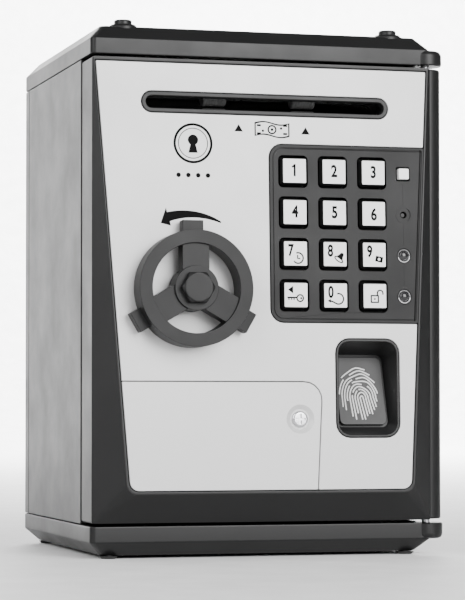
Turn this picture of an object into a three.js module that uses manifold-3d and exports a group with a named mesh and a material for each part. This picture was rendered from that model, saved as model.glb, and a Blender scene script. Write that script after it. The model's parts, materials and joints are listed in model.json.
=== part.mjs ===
// A toy savings bank shaped like a small safe: a five-piece case and a deep hinged door. The door carries a
// keypad, a note feed, a finger rest, a battery bay and a three-spoke wheel that throws the latch bolt.
// Millimetres, +X right, +Y back, +Z up. The origin is under the middle of the whole object, at table height.
import * as THREE from "three";
import { ConvexGeometry } from "three/addons/geometries/ConvexGeometry.js";
import { mergeVertices } from "three/addons/utils/BufferGeometryUtils.js";
import Module from "manifold-3d";

const wasm = await Module();
wasm.setup();

// ---------------------------------------------------------------- driving dimensions
const caseWidth = 127;
const caseDepth = 119;
const wall = 2.2;
const gap = 0.3; // between pieces that touch
const segments = 24;

const footHeight = 1.2;
const capChamfer = 4.6; // height and inset of the slanted edge of the base and the lid
const baseBandTop = 11.6;
const lidBandBottom = 178.3;
const lidTop = 188.9;
const studTop = 191.7;

const hingeX = 63.1;
const hingeY = -54.5;
const barrelRadius = 5.4;
const earRadius = 6.1;
const pinRadius = 1.5;

const doorLeft = -63.2;
const doorFront = -59.9; // the outer edge of the door's front
const doorBack = -43.5;
const doorBottom = 12.7;
const doorTop = 177.2;
const panelTilt = THREE.MathUtils.degToRad(2.135); // the console face leans out towards its foot
const panelTopZ = 177;
const panelTopY = -60.54;

const panelPlate = 1.5; // thickness of the silver front plate
const frontWallBack = 4; // how far the frame's front wall reaches behind the console face

const keyPitch = 14.86;
const keyColumn = 10.1;
const keyRow = 138;
const keyTravel = 1.0;
const statusX = 51.8;

const wheelX = -28.7;
const wheelZ = 94.9;
const wheelRim = 20.6;
const wheelLug = 24.4;
const wheelFront = -10.4; // in front of the console face
const nutFront = -13.6;

const slotX = 0.4;
const slotZ = 161.7;
const rollerX = 16.7;
const toothModule = 0.8;

const fingerX = 37.4;
const fingerZ = 60.4;

const coverTopZ = 62.5;
const coverRightX = 20.2;
const screwX = 11.85;
const screwZ = 49.3;

// ---------------------------------------------------------------- solids from three.js geometry
function solid(geometry) {
  const bare = geometry.index ? geometry.toNonIndexed() : geometry.clone();
  bare.deleteAttribute("normal");
  bare.deleteAttribute("uv");
  const merged = mergeVertices(bare, 1e-4);
  return new wasm.Manifold(
    new wasm.Mesh({
      numProp: 3,
      vertProperties: merged.attributes.position.array,
      triVerts: new Uint32Array(merged.index.array),
    }),
  );
}

function block([x0, x1], [y0, y1], [z0, z1]) {
  const box = new THREE.BoxGeometry(x1 - x0, y1 - y0, z1 - z0);
  return solid(box.translate((x0 + x1) / 2, (y0 + y1) / 2, (z0 + z1) / 2));
}

// A rod or cone along one axis; at is its centre on the other two axes, in X, Y, Z order.
function rod(axis, at, [from, to], r, rEnd = r, sides = segments) {
  const shape = new THREE.CylinderGeometry(rEnd, r, to - from, sides);
  const middle = (from + to) / 2;
  if (axis === "x") return solid(shape.rotateZ(-Math.PI / 2).translate(middle, at[0], at[1]));
  if (axis === "y") return solid(shape.translate(at[0], middle, at[1]));
  return solid(shape.rotateX(Math.PI / 2).translate(at[0], at[1], middle));
}

// A closed outline from corners [x, z, radius], going anticlockwise as seen from the front.
function outline(corners) {
  const shape = new THREE.Shape();
  corners.forEach(([x, z, r = 0], i) => {
    const here = new THREE.Vector2(x, z);
    const back = new THREE.Vector2(...corners.at(i - 1).slice(0, 2)).sub(here).normalize();
    const on = new THREE.Vector2(...corners[(i + 1) % corners.length].slice(0, 2)).sub(here).normalize();
    const half = Math.acos(THREE.MathUtils.clamp(back.dot(on), -1, 1)) / 2;
    if (!r) {
      if (i) shape.lineTo(x, z);
      else shape.moveTo(x, z);
      return;
    }
    const start = here.clone().addScaledVector(back, r / Math.tan(half));
    const centre = here.clone().addScaledVector(back.clone().add(on).normalize(), r / Math.sin(half));
    const end = here.clone().addScaledVector(on, r / Math.tan(half));
    if (i) shape.lineTo(start.x, start.y);
    else shape.moveTo(start.x, start.y);
    const from = Math.atan2(start.y - centre.y, start.x - centre.x);
    const to = Math.atan2(end.y - centre.y, end.x - centre.x);
    shape.absarc(centre.x, centre.y, r, from, to, back.cross(on) > 0);
  });
  shape.closePath();
  return shape;
}

const rectangle = (x0, x1, z0, z1, r = 0) =>
  outline([[x0, z0, r], [x1, z0, r], [x1, z1, r], [x0, z1, r]]);

// An outline in X and Z, given depth along Y.
function plate(shape, [y0, y1], curveSegments = 5) {
  const made = new THREE.ExtrudeGeometry(shape, { depth: y1 - y0, bevelEnabled: false, curveSegments });
  return solid(made.rotateX(Math.PI / 2).translate(0, y1, 0));
}

// An outline in X and Y, given height along Z.
function slab(shape, [z0, z1], curveSegments = 5) {
  const made = new THREE.ExtrudeGeometry(shape, { depth: z1 - z0, bevelEnabled: false, curveSegments });
  return solid(made.translate(0, 0, z0));
}

// The convex body round some loops of points.
function loft(...loops) {
  return solid(new ConvexGeometry(loops.flat().map((point) => new THREE.Vector3(...point))));
}

// A ring of teeth round the X axis, with room for backlash.
function gear(teeth, [x0, x1], bore, turned = 0) {
  const pitchRadius = (toothModule * teeth) / 2;
  const root = pitchRadius - 0.95;
  const tip = pitchRadius + 0.6;
  const shape = new THREE.Shape();
  for (let i = 0; i < teeth; i++) {
    const middle = turned + (i * 2 * Math.PI) / teeth;
    const flank = (share, radius) => {
      const a = middle + (share * Math.PI) / teeth;
      return [radius * Math.cos(a), radius * Math.sin(a)];
    };
    const corners = [flank(-0.62, root), flank(-0.22, tip), flank(0.22, tip), flank(0.62, root)];
    corners.forEach((c, k) => (i || k ? shape.lineTo(...c) : shape.moveTo(...c)));
  }
  shape.closePath();
  const made = new THREE.ExtrudeGeometry(shape, { depth: x1 - x0, bevelEnabled: false });
  const body = solid(made.rotateY(Math.PI / 2).translate(x0, 0, 0));
  return body.subtract(rod("x", [0, 0], [x0 - 1, x1 + 1], bore, bore, 16));
}

// ---------------------------------------------------------------- materials and placing
const finish = (color, roughness, metalness = 0) =>
  new THREE.MeshStandardMaterial({ color, roughness, metalness });
const blackPlastic = finish(0x2b2b2d, 0.45);
const silverPlastic = finish(0xd6d6d6, 0.35, 0.3);
const greyPlastic = finish(0x4b4b4d, 0.5);
const innerPlastic = finish(0x232325, 0.6);
const rubber = finish(0x1a1a1a, 0.8);
const steel = finish(0xb8b8bc, 0.3, 1);
const boardGreen = finish(0x1f5a34, 0.5);
const whitePlastic = finish(0xf0f0ee, 0.4);
const whiteGear = finish(0xe4e0d2, 0.5);
const brassColour = finish(0xb58a3c, 0.35, 1);
const cellSleeve = finish(0x30363c, 0.35);
const smokedLens = finish(0x2a2a2c, 0.1);

const bank = new THREE.Group();
const caseFrame = new THREE.Group(); // its own origin is under the middle of the case
bank.add(caseFrame);

// The console frame: X across, Y into the door, Z up the leaning face, from the top of that face.
const consoleFrame = new THREE.Group();
consoleFrame.position.set(0, panelTopY, panelTopZ);
consoleFrame.rotation.x = -panelTilt;
caseFrame.add(consoleFrame);
const up = (z) => (z - panelTopZ) / Math.cos(panelTilt); // height z on the face, in the console frame
const faceY = (z) => panelTopY - (panelTopZ - z) * Math.tan(panelTilt);

function place(group, name, body, material) {
  const mesh = body.getMesh();
  const shape = new THREE.BufferGeometry();
  shape.setAttribute("position", new THREE.BufferAttribute(new Float32Array(mesh.vertProperties), 3));
  shape.setIndex(new THREE.BufferAttribute(new Uint32Array(mesh.triVerts), 1));
  const made = new THREE.Mesh(shape, material);
  made.name = name;
  group.add(made);
}
const inCase = (name, body, material) => place(caseFrame, name, body, material);
const onConsole = (name, body, material) => place(consoleFrame, name, body, material);

// A console-frame solid brought into the case frame, for cutting.
function fromConsole(body) {
  return body.rotate([-THREE.MathUtils.radToDeg(panelTilt), 0, 0]).translate([0, panelTopY, panelTopZ]);
}

// ---------------------------------------------------------------- base and lid
const halfW = caseWidth / 2;
const halfD = caseDepth / 2;
const cornerCut = 1.3;

// One level of the case's outline, drawn in by inset, with its upright corners cut.
function level(inset, z) {
  const x = halfW - inset;
  const y = halfD - inset;
  const points = [];
  for (const [sx, sy] of [[-1, -1], [1, -1], [1, 1], [-1, 1]]) {
    points.push([sx * (x - cornerCut), sy * y, z], [sx * x, sy * (y - cornerCut), z]);
  }
  return points;
}
const baseBandBottom = footHeight + capChamfer;
const lidBandTop = lidTop - capChamfer - 0.2;
const footX = 55.5;
const footY = 53;
const footPlaces = [
  ["front_left", -footX, -footY],
  ["front_right", footX, -footY],
  ["back_left", -footX, footY],
  ["back_right", footX, footY],
];
const ear = (z) => rod("z", [hingeX, hingeY], z, earRadius);
const pinHole = (z) => rod("z", [hingeX, hingeY], z, pinRadius + gap, pinRadius + gap, 16);
const pinLower = [7.9, 19.5];
const pinUpper = [170.5, 182];
const hollowChamfer = capChamfer - 1.4; // the slanted edge as it runs on the inside

let base = loft(level(0, baseBandBottom), level(0, baseBandTop))
  .add(loft(level(capChamfer, footHeight), level(0, baseBandBottom)))
  .subtract(loft(level(wall, baseBandBottom + 0.6), level(wall, baseBandTop + 1)))
  .subtract(loft(level(wall + hollowChamfer, footHeight + wall), level(wall, baseBandBottom + 0.61)))
  .add(ear([baseBandBottom, baseBandTop]))
  .subtract(pinHole([pinLower[0] - gap, baseBandTop + 1]));
for (const [, x, y] of footPlaces) base = base.subtract(rod("z", [x, y], [0, 2.5], 1.8, 1.8, 16));
inCase("base", base, blackPlastic);

let lid = loft(level(0, lidBandBottom), level(0, lidBandTop))
  .add(loft(level(0, lidBandTop), level(capChamfer, lidTop)))
  .subtract(loft(level(wall, lidBandBottom - 1), level(wall, lidBandTop - 0.6)))
  .subtract(loft(level(wall, lidBandTop - 0.61), level(wall + hollowChamfer, lidTop - wall)))
  .add(ear([lidBandBottom, lidBandTop]))
  .subtract(pinHole([lidBandBottom - 1, pinUpper[1] + gap]));
const studX = 49.9;
const studY = 50.6;
for (const x of [-studX, studX])
  for (const y of [-studY, studY])
    lid = lid
      .add(rod("z", [x, y], [lidTop - 0.5, lidTop + 1], 5.2, 4.4, 16))
      .add(rod("z", [x, y], [lidTop - 0.5, studTop], 3.2, 3.2, 16));
const coinSlot = rectangle(-16, 16, -2.4, 2.4, 2.2);
lid = lid.subtract(slab(coinSlot, [lidTop - 8, lidTop + 1]));
inCase("lid", lid, blackPlastic);

for (const [name, x, y] of footPlaces) {
  const pad = rod("z", [x, y], [0, footHeight - 0.25], 2.5, 3.3, 20);
  inCase("foot_" + name, pad.add(rod("z", [x, y], [0.5, 2.2], 1.5, 1.5, 16)), rubber);
}

// ---------------------------------------------------------------- case walls
const wallBottom = baseBandTop + gap;
const wallTop = lidBandBottom - gap;
const wallInside = halfW - wall;
const returnFront = 51.2;

// The left wall carries the strike tab that the latch bolt shoots through.
const strike = { x: [-59.4, -57.6], z: [85, 104.6], front: -54 };
const boltZ = wheelZ - 0.4;
const wallDepth = [doorBack + gap, returnFront - gap];
const leftWall = block([-halfW, -wallInside], wallDepth, [wallBottom, wallTop])
  .add(block([-wallInside - 0.5, strike.x[1]], [doorBack + 0.8, -36], strike.z))
  .add(block(strike.x, [strike.front, -36], strike.z))
  .subtract(block([strike.x[0] - 0.5, strike.x[1] + 0.5], [-53, -47.8], [boltZ - 4.2, boltZ + 4.2]));
inCase("side_panel_left", leftWall, blackPlastic);
inCase("side_panel_right", block([wallInside, halfW], wallDepth, [wallBottom, wallTop]), blackPlastic);

const rearCover = block([-halfW, halfW], [returnFront, halfD], [wallBottom, wallTop])
  .subtract(block([-wallInside, wallInside], [returnFront - 1, halfD - wall], [wallBottom - 1, wallTop + 1]));
inCase("rear_cover", rearCover, blackPlastic);

inCase("hinge_pin_lower", rod("z", [hingeX, hingeY], pinLower, pinRadius, pinRadius, 20), steel);
inCase("hinge_pin_upper", rod("z", [hingeX, hingeY], pinUpper, pinRadius, pinRadius, 20), steel);

// ---------------------------------------------------------------- console outlines
// Edges of the silver plate, straight lines in X against height.
const leftEdge = (z) => -62 + (175.7 - z) * 0.0755;
const rightEdge = (z) => 61.15 - (175.6 - z) * 0.0502;
const plateTop = 175.7;
const plateBottom = 24.2;
const keypad = { left: 1.1, top: 147.9, bottom: 83.6, radius: 5 };

// grow widens the outline on every side.
function plateOutline(grow) {
  const corner = (x, z, r) => [x, up(z), r];
  const bottom = plateBottom - grow;
  const top = plateTop + grow;
  return outline([
    corner(leftEdge(bottom) - grow, bottom, 3.3 + grow),
    corner(rightEdge(bottom) + grow, bottom, 3.3 + grow),
    corner(rightEdge(keypad.bottom) + grow, keypad.bottom + grow),
    corner(keypad.left + grow, keypad.bottom + grow, keypad.radius - grow),
    corner(keypad.left + grow, keypad.top - grow, keypad.radius - grow),
    corner(rightEdge(keypad.top) + grow, keypad.top - grow),
    corner(rightEdge(top) + grow, top),
    corner(leftEdge(top) - grow, top),
  ]);
}

function coverOutline(grow) {
  const z0 = plateBottom - grow;
  const z1 = coverTopZ + grow;
  return outline([
    [leftEdge(z0) - grow, up(z0), 3.3 + grow],
    [coverRightX - 2.1 + grow, up(z0)],
    [coverRightX + grow, up(z1), 6.5 + grow],
    [leftEdge(z1) - grow, up(z1)],
  ]);
}

const stadium = (x, z, length, height) =>
  rectangle(x - length / 2, x + length / 2, z - height / 2, z + height / 2, height / 2 - 0.01);
const slotOutline = (grow) => stadium(slotX, up(slotZ), 91.8 + 2 * grow, 7.3 + 2 * grow);

function fingerOutline(grow) {
  const x = 11.9 + grow;
  const z = 17.6 + grow;
  return rectangle(fingerX - x, fingerX + x, up(fingerZ) - z, up(fingerZ) + z, 5 + grow);
}

// ---------------------------------------------------------------- door frame
const rim = 1.3;
const rimLoop = [
  [leftEdge(plateBottom) - rim, plateBottom - rim],
  [rightEdge(plateBottom) + rim, plateBottom - rim],
  [62.3, doorTop],
  [-62.9, doorTop],
].map(([x, z]) => [x, faceY(z), z]);
const upright = ([x0, x1], y, [z0, z1]) => [[x0, y, z0], [x1, y, z0], [x1, y, z1], [x0, y, z1]];
const edgeLoop = upright([doorLeft, hingeX], doorFront, [doorBottom, doorTop]);
const cavity = { x: [-61, 57.1], y: -56.4, z: [15, 174.9] };
const cavityLoop = upright(cavity.x, cavity.y, cavity.z);
const deepLoop = [[-49.6, 25.6], [52.4, 25.6], [56.9, 174.8], [-60.4, 174.8]]
  .map(([x, z]) => [x, faceY(z) + frontWallBack, z]);

let frame = block([doorLeft, hingeX], [doorFront, doorBack], [doorBottom, doorTop])
  .add(loft(edgeLoop, rimLoop))
  .add(rod("z", [hingeX, hingeY], [doorBottom + 0.3, doorTop - 0.2], barrelRadius))
  .subtract(block(cavity.x, [cavity.y, doorBack + 1], cavity.z))
  .subtract(loft(cavityLoop, deepLoop))
  .subtract(pinHole([doorBottom - 1, pinLower[1] + 1]))
  .subtract(pinHole([pinUpper[0] - 1, doorTop + 1]));
const bay = { x: [-48.8, 5.8], z: [26, 60.6] };
const keyWell = 11;
let frontCuts = plate(plateOutline(gap), [-6, panelPlate + gap])
  .add(plate(slotOutline(gap), [0, 6]))
  .add(plate(fingerOutline(gap), [0, 6]))
  .add(plate(rectangle(bay.x[0], bay.x[1], up(bay.z[0]), up(bay.z[1]), 2), [0, 6]))
  .add(rod("y", [wheelX, up(wheelZ)], [0, 6], 3.4, 3.4, 20))
  .add(rod("y", [screwX, up(screwZ)], [0, 6], 1.7, 1.7, 16));
const keyPlaces = [];
for (let row = 0; row < 4; row++)
  for (let column = 0; column < 3; column++)
    keyPlaces.push([keyColumn + column * keyPitch, up(keyRow) - row * keyPitch]);
const square = (x, z, side) => rectangle(x - side / 2, x + side / 2, z - side / 2, z + side / 2);
for (const [x, z] of keyPlaces) frontCuts = frontCuts.add(plate(square(x, z, keyWell), [-1, 6]));
const statusRow = (row) => up(keyRow) - row * keyPitch;
frontCuts = frontCuts
  .add(plate(square(statusX, statusRow(0), 4.9), [-1, 6]))
  .add(rod("y", [statusX, statusRow(1)], [-1, 6], 1.2, 1.2, 16))
  .add(rod("y", [statusX, statusRow(2)], [-1, 6], 2.65, 2.65, 20))
  .add(rod("y", [statusX, statusRow(3)], [-1, 6], 2.65, 2.65, 20));
frame = frame.subtract(fromConsole(frontCuts));
inCase("door_frame", frame, blackPlastic);

// ---------------------------------------------------------------- silver plate, slot bezel, battery cover
const silver = plate(plateOutline(0), [0, panelPlate])
  .subtract(plate(coverOutline(gap), [-1, 3]))
  .subtract(plate(slotOutline(gap), [-1, 3]))
  .subtract(plate(fingerOutline(gap), [-1, 3]))
  .subtract(rod("y", [wheelX, up(wheelZ)], [-1, 3], 3.6, 3.6, 20));
onConsole("front_plate", silver, silverPlastic);

const slotMouth = stadium(slotX, up(slotZ), 88.8, 4.4);
const bezel = plate(slotOutline(0), [-0.1, 4.2]).subtract(plate(slotMouth, [-1, 6]));
onConsole("note_slot_bezel", bezel, greyPlastic);

const cover = plate(coverOutline(0), [0, panelPlate])
  .subtract(rod("y", [screwX, up(screwZ)], [-0.1, 1], 5.2, 3.6))
  .subtract(rod("y", [screwX, up(screwZ)], [-1, 3], 1.8, 1.8, 16));
onConsole("battery_cover", cover, silverPlastic);
const screw = rod("y", [screwX, up(screwZ)], [-0.1, 0.7], 2.4, 2.9, 20)
  .add(rod("y", [screwX, up(screwZ)], [0.5, 8.5], 1.4, 1.4, 16));
onConsole("battery_screw", screw, steel);

// ---------------------------------------------------------------- keypad
// A square post that narrows from one width at the back to another at the front.
function taper(x, z, front, back, [y0, y1]) {
  const loop = (half, y) => upright([x - half, x + half], y, [z - half, z + half]);
  return loft(loop(back / 2, y1), loop(front / 2, y0));
}
const keyNames = ["1", "2", "3", "4", "5", "6", "7", "8", "9", "back", "0", "unlock"];
keyPlaces.forEach(([x, z], i) => {
  const cap = taper(x, z, 8.4, 9.8, [-2.1, 0.6])
    .add(block([x - 4.9, x + 4.9], [0.5, 4.6], [z - 4.9, z + 4.9]))
    .add(block([x - 6.1, x + 6.1], [4.3, 5.1], [z - 6.1, z + 6.1]));
  onConsole("key_" + keyNames[i], cap, silverPlastic);
});
const boardX = [keyColumn - 7.1, statusX + 4.6];
const boardZ = [statusRow(3) - 7.3, statusRow(0) + 7.3];
const matX = [boardX[0] + 1, statusX - 4.2];
onConsole("key_mat", block(matX, [6.6, 7.6], boardZ), rubber);
onConsole("circuit_board", block(boardX, [8.2, 9.8], boardZ), boardGreen);
onConsole("power_lamp_lens", taper(statusX, statusRow(0), 3.7, 4.3, [-1.3, 5.2]), whitePlastic);
for (const [n, row] of [["upper", 2], ["lower", 3]]) {
  const bead = rod("y", [statusX, statusRow(row)], [0.9, 6.5], 2.3, 2.3, 20)
    .add(rod("y", [statusX, statusRow(row)], [0.1, 1], 1.2, 2.2, 20));
  onConsole("status_lamp_" + n, bead, smokedLens);
}
const button = rod("y", [statusX, statusRow(1)], [0.8, 5.4], 0.85, 0.85, 14)
  .add(rod("y", [statusX, statusRow(1)], [4.6, 5.4], 1.9, 1.9, 14));
onConsole("reset_button", button, greyPlastic);

// ---------------------------------------------------------------- finger rest
// A tapered pocket whose floor is deep at the top and shallow at the foot, with a pad let into that floor.
const rest = { x: [27, 46.6], z: [46.5, 73], depth: [3.0, 10.5] };
const floorDepth = (z) =>
  rest.depth[0] + ((z - rest.z[0]) * (rest.depth[1] - rest.depth[0])) / (rest.z[1] - rest.z[0]);
const mouth = { x: [fingerX - 11, fingerX + 11], z: [fingerZ - 16.7, fingerZ + 16.7] };
// Eight points of a rectangle with cut corners, each with its own depth.
function cutLoop([x0, x1], [z0, z1], cut, depth) {
  const points = [];
  for (const [x, sx] of [[x0, 1], [x1, -1]]) {
    for (const [z, sz] of [[z0, 1], [z1, -1]]) {
      points.push([x + sx * cut, depth(z), up(z)], [x, depth(z + sz * cut), up(z + sz * cut)]);
    }
  }
  return points;
}
const mouthLoop = cutLoop(mouth.x, mouth.z, 2.6, () => -0.01);
const padThick = 1.4;
const floorLoop = cutLoop(rest.x, rest.z, 1.8, (z) => floorDepth(z) + padThick + gap);
const well = plate(fingerOutline(0), [0, 13.6]).subtract(loft(floorLoop, mouthLoop));
onConsole("finger_well", well, greyPlastic);
const shrink = ([low, high], by) => [low + by, high - by];
const padLoop = (extra) =>
  cutLoop(shrink(rest.x, 0.9), shrink(rest.z, 0.9), 1.5, (z) => floorDepth(z) + extra);
onConsole("finger_pad", loft(padLoop(padThick), padLoop(0)), innerPlastic);

// ---------------------------------------------------------------- handwheel, shaft, crank and latch bolt
const hub = [wheelX, up(wheelZ)];
const disc = (radius, depths, sides) => rod("y", hub, depths, radius, radius, sides);
function spoke(angle, [near, far], halfWidth, depths) {
  const arm = block([-halfWidth, halfWidth], depths, [near, far]);
  return arm.rotate([0, angle, 0]).translate([hub[0], 0, hub[1]]);
}
let wheel = disc(wheelRim, [wheelFront, -1.2], 40)
  .subtract(disc(15.9, [wheelFront - 1, 0], 40))
  .add(disc(7.9, [wheelFront, -1.2], 24));
for (const angle of [0, 120, 240]) {
  wheel = wheel.add(spoke(angle, [5, 17], 4.9, [-9.4, -3.4]));
  wheel = wheel.add(spoke(angle, [19, wheelLug], 3.8, [-5.8, -1.2]));
}
wheel = wheel.subtract(disc(3.1, [-8.6, 0], 20));
onConsole("handwheel", wheel, greyPlastic);
const nutHeight = wheelFront - gap - nutFront;
const nut = new THREE.CylinderGeometry(6.1, 6.1, nutHeight, 6, 1, false, Math.PI / 6);
onConsole("hub_nut", solid(nut.translate(hub[0], nutFront + nutHeight / 2, hub[1])), greyPlastic);
const shaft = disc(2.8, [-8.3, 7.6], 20).add(disc(5.2, [frontWallBack + 0.4, 6.2], 20));
onConsole("wheel_shaft", shaft, innerPlastic);

// Two notches 60 degrees apart take the lock plunger with the bolt drawn and with it thrown.
const throwAngle = 60;
const crankRadius = 4.6;
const drawn = THREE.MathUtils.degToRad(throwAngle / 2);
const crankX = hub[0] + crankRadius * Math.sin(drawn);
const crankZ = hub[1] - crankRadius * Math.cos(drawn);
let crank = rod("y", hub, [8, 10.5], 10.5).add(rod("y", [crankX, crankZ], [10, 14.8], 1.4, 1.4, 16));
const notch = block([-2.2, 2.2], [7, 11.5], [-12, -7.6]);
for (const angle of [0, -throwAngle]) {
  crank = crank.subtract(notch.rotate([0, angle, 0]).translate([hub[0], 0, hub[1]]));
}
onConsole("crank_disc", crank, innerPlastic);

const boltTip = -55.9;
const bolt = block([boltTip, hub[0] + 7.5], [11.5, 14.5], [hub[1] - 3.2, hub[1] + 3.2])
  .add(block([crankX - 4.4, crankX + 4.4], [11.5, 14.5], [hub[1] - 9, hub[1] + 3.2]))
  .subtract(block([crankX - 1.75, crankX + 1.75], [11, 15], [hub[1] - 6.6, hub[1] - 1.9]));
onConsole("latch_bolt", bolt, steel);

// ---------------------------------------------------------------- lock solenoid
// It stands under the crank disc, so the plunger's own weight draws it out of the notch.
const plungerY = 9.25;
const coil = block([hub[0] - 6, hub[0] + 6], [5, 13.4], [hub[1] - 28, hub[1] - 14])
  .subtract(rod("z", [hub[0], plungerY], [hub[1] - 26, hub[1] - 12], 2.2, 2.2, 16));
onConsole("lock_solenoid", coil, steel);
const plunger = rod("z", [hub[0], plungerY], [hub[1] - 24, hub[1] - 11], 1.8, 1.8, 16);
onConsole("lock_plunger", plunger, brassColour);

// ---------------------------------------------------------------- note feed
const feedY = 9.8;
const driveZ = up(slotZ) - 5.2;
const pinchZ = up(slotZ) + 4.0;
const driveRadius = 4.8;
const pinchRadius = 3.6;
const shaftSpan = [-53.6, 50];
onConsole("feed_shaft", rod("x", [feedY, driveZ], shaftSpan, 1.2, 1.2, 14), steel);
onConsole("pinch_shaft", rod("x", [feedY, pinchZ], [-50, 50], 1.0, 1.0, 14), steel);
for (const [side, x] of [["left", -rollerX], ["right", rollerX]]) {
  const tyre = (z, r, bore) =>
    rod("x", [feedY, z], [x - 4.3, x + 4.3], r)
      .subtract(rod("x", [feedY, z], [x - 6, x + 6], bore, bore, 16));
  onConsole("feed_roller_" + side, tyre(driveZ, driveRadius, 1.5), rubber);
  onConsole("pinch_roller_" + side, tyre(pinchZ, pinchRadius, 1.3), rubber);
}
for (const [side, x0, x1] of [["left", -48.6, -46.6], ["right", 46.8, 48.8]]) {
  const bracket = block([x0, x1], [4.6, 14.6], [driveZ - 5.4, pinchZ + 4.2])
    .subtract(rod("x", [feedY, driveZ], [x0 - 1, x1 + 1], 1.5, 1.5, 16))
    .subtract(rod("x", [feedY, pinchZ], [x0 - 1, x1 + 1], 1.3, 1.3, 16));
  onConsole("feed_bracket_" + side, bracket, innerPlastic);
}
const gearTeeth = 12;
const pinionTeeth = 8;
const gearSpan = [-53, -50];
const motorZ = driveZ - (toothModule * (gearTeeth + pinionTeeth)) / 2 - gap;
onConsole("feed_gear", gear(gearTeeth, gearSpan, 1.5).translate([0, feedY, driveZ]), whiteGear);
const pinion = gear(pinionTeeth, gearSpan, 1.1, Math.PI / pinionTeeth);
onConsole("motor_pinion", pinion.translate([0, feedY, motorZ]), whiteGear);
const motor = block([-46, -24], [feedY - 5, feedY + 5], [motorZ - 6, motorZ + 6])
  .add(rod("x", [feedY, motorZ], [-54, -45], 0.8, 0.8, 14));
onConsole("feed_motor", motor, steel);

// ---------------------------------------------------------------- batteries and speaker
const cellRadius = 7.1;
const cellY = 11.6;
const cellX = [-47.9, 2.4];
[58, 43.3, 28.6].forEach((z, i) => {
  const flip = i % 2 ? -1 : 1;
  const ends = flip > 0 ? [cellX[0], cellX[1] - 1] : [cellX[0] + 1, cellX[1]];
  const nub = flip > 0 ? [cellX[1] - 1.5, cellX[1]] : [cellX[0], cellX[0] + 1.5];
  const cell = rod("x", [cellY, up(z)], ends, cellRadius)
    .add(rod("x", [cellY, up(z)], nub, 2.7, 2.7, 14));
  onConsole("battery_" + (i + 1), cell, cellSleeve);
});
const speakerX = -30;
const speakerZ = 124;
const cone = rod("y", [speakerX, up(speakerZ)], [10.4, 14.2], 12);
onConsole("speaker", cone.add(rod("y", [speakerX, up(speakerZ)], [6, 10.5], 6.5)), innerPlastic);

// ---------------------------------------------------------------- inner cover of the door
const coverFront = doorBack - wall;
const through = [coverFront - 1, doorBack + 1];
let inner = block(shrink(cavity.x, gap), [coverFront, doorBack], shrink(cavity.z, gap))
  .subtract(plate(stadium(slotX, slotZ - 0.4, 90, 7), through))
  .subtract(block([strike.x[0] - 0.7, strike.x[1] + 1.2], through, [strike.z[0] - 0.8, strike.z[1] + 0.8]));
for (let i = 0; i < 7; i++) {
  const a = (i * Math.PI) / 3;
  const out = i < 6 ? 5 : 0;
  const hole = [speakerX + out * Math.cos(a), speakerZ + out * Math.sin(a)];
  inner = inner.subtract(rod("y", hole, through, 1.1, 1.1, 10));
}
inCase("inner_cover", inner, innerPlastic);

// ---------------------------------------------------------------- the origin goes under the middle of it all
const middle = new THREE.Box3().setFromObject(caseFrame).getCenter(new THREE.Vector3());
caseFrame.position.set(-middle.x, -middle.y, 0);

export default bank;
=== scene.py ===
import json
import math
import random

import bmesh
import bpy
from mathutils import Matrix, Vector
from mathutils.geometry import delaunay_2d_cdt


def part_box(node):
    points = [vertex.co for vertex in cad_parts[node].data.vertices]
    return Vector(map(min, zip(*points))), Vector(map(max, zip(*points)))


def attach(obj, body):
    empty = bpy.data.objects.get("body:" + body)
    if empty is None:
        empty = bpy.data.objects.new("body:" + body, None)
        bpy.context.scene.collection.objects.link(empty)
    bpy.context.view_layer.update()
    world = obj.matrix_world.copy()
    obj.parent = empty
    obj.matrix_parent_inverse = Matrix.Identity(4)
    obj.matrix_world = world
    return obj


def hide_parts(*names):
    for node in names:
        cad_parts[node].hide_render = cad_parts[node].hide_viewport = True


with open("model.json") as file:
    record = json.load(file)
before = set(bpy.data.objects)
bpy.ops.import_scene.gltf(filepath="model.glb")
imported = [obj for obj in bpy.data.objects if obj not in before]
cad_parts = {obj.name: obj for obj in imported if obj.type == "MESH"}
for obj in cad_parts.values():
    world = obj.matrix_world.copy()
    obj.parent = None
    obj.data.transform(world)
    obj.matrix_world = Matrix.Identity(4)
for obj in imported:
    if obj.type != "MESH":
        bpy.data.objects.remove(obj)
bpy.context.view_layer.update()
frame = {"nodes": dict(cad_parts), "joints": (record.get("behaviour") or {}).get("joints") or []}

# ---------------------------------------------------------------- camera
# The bank is seen from the front left, a little above the table, through a long lens.
# Sizes in this file are millimetres from the middle of the case and from the table up.
mm = 0.001
rear_low, rear_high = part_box("rear_cover")
half_depth = 59.5
case_middle = Vector(((rear_low.x + rear_high.x) / 2, rear_high.y - half_depth * mm, 0))
case = Matrix.Translation(case_middle) @ Matrix.Scale(mm, 4)
scene = bpy.context.scene
camera = bpy.data.objects.new("camera", bpy.data.cameras.new("camera"))
scene.collection.objects.link(camera)
scene.camera = camera
camera_rise = 1.758
camera_turn = -15.524
camera.location = case @ Vector((-259.6, -930.2, 55.1))
camera.rotation_euler = (math.radians(90 + camera_rise), 0, math.radians(camera_turn))
camera.data.lens = 152.4
camera.data.shift_x = 0.0271
camera.data.shift_y = 0.0414
camera.data.clip_start = 0.05


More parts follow.
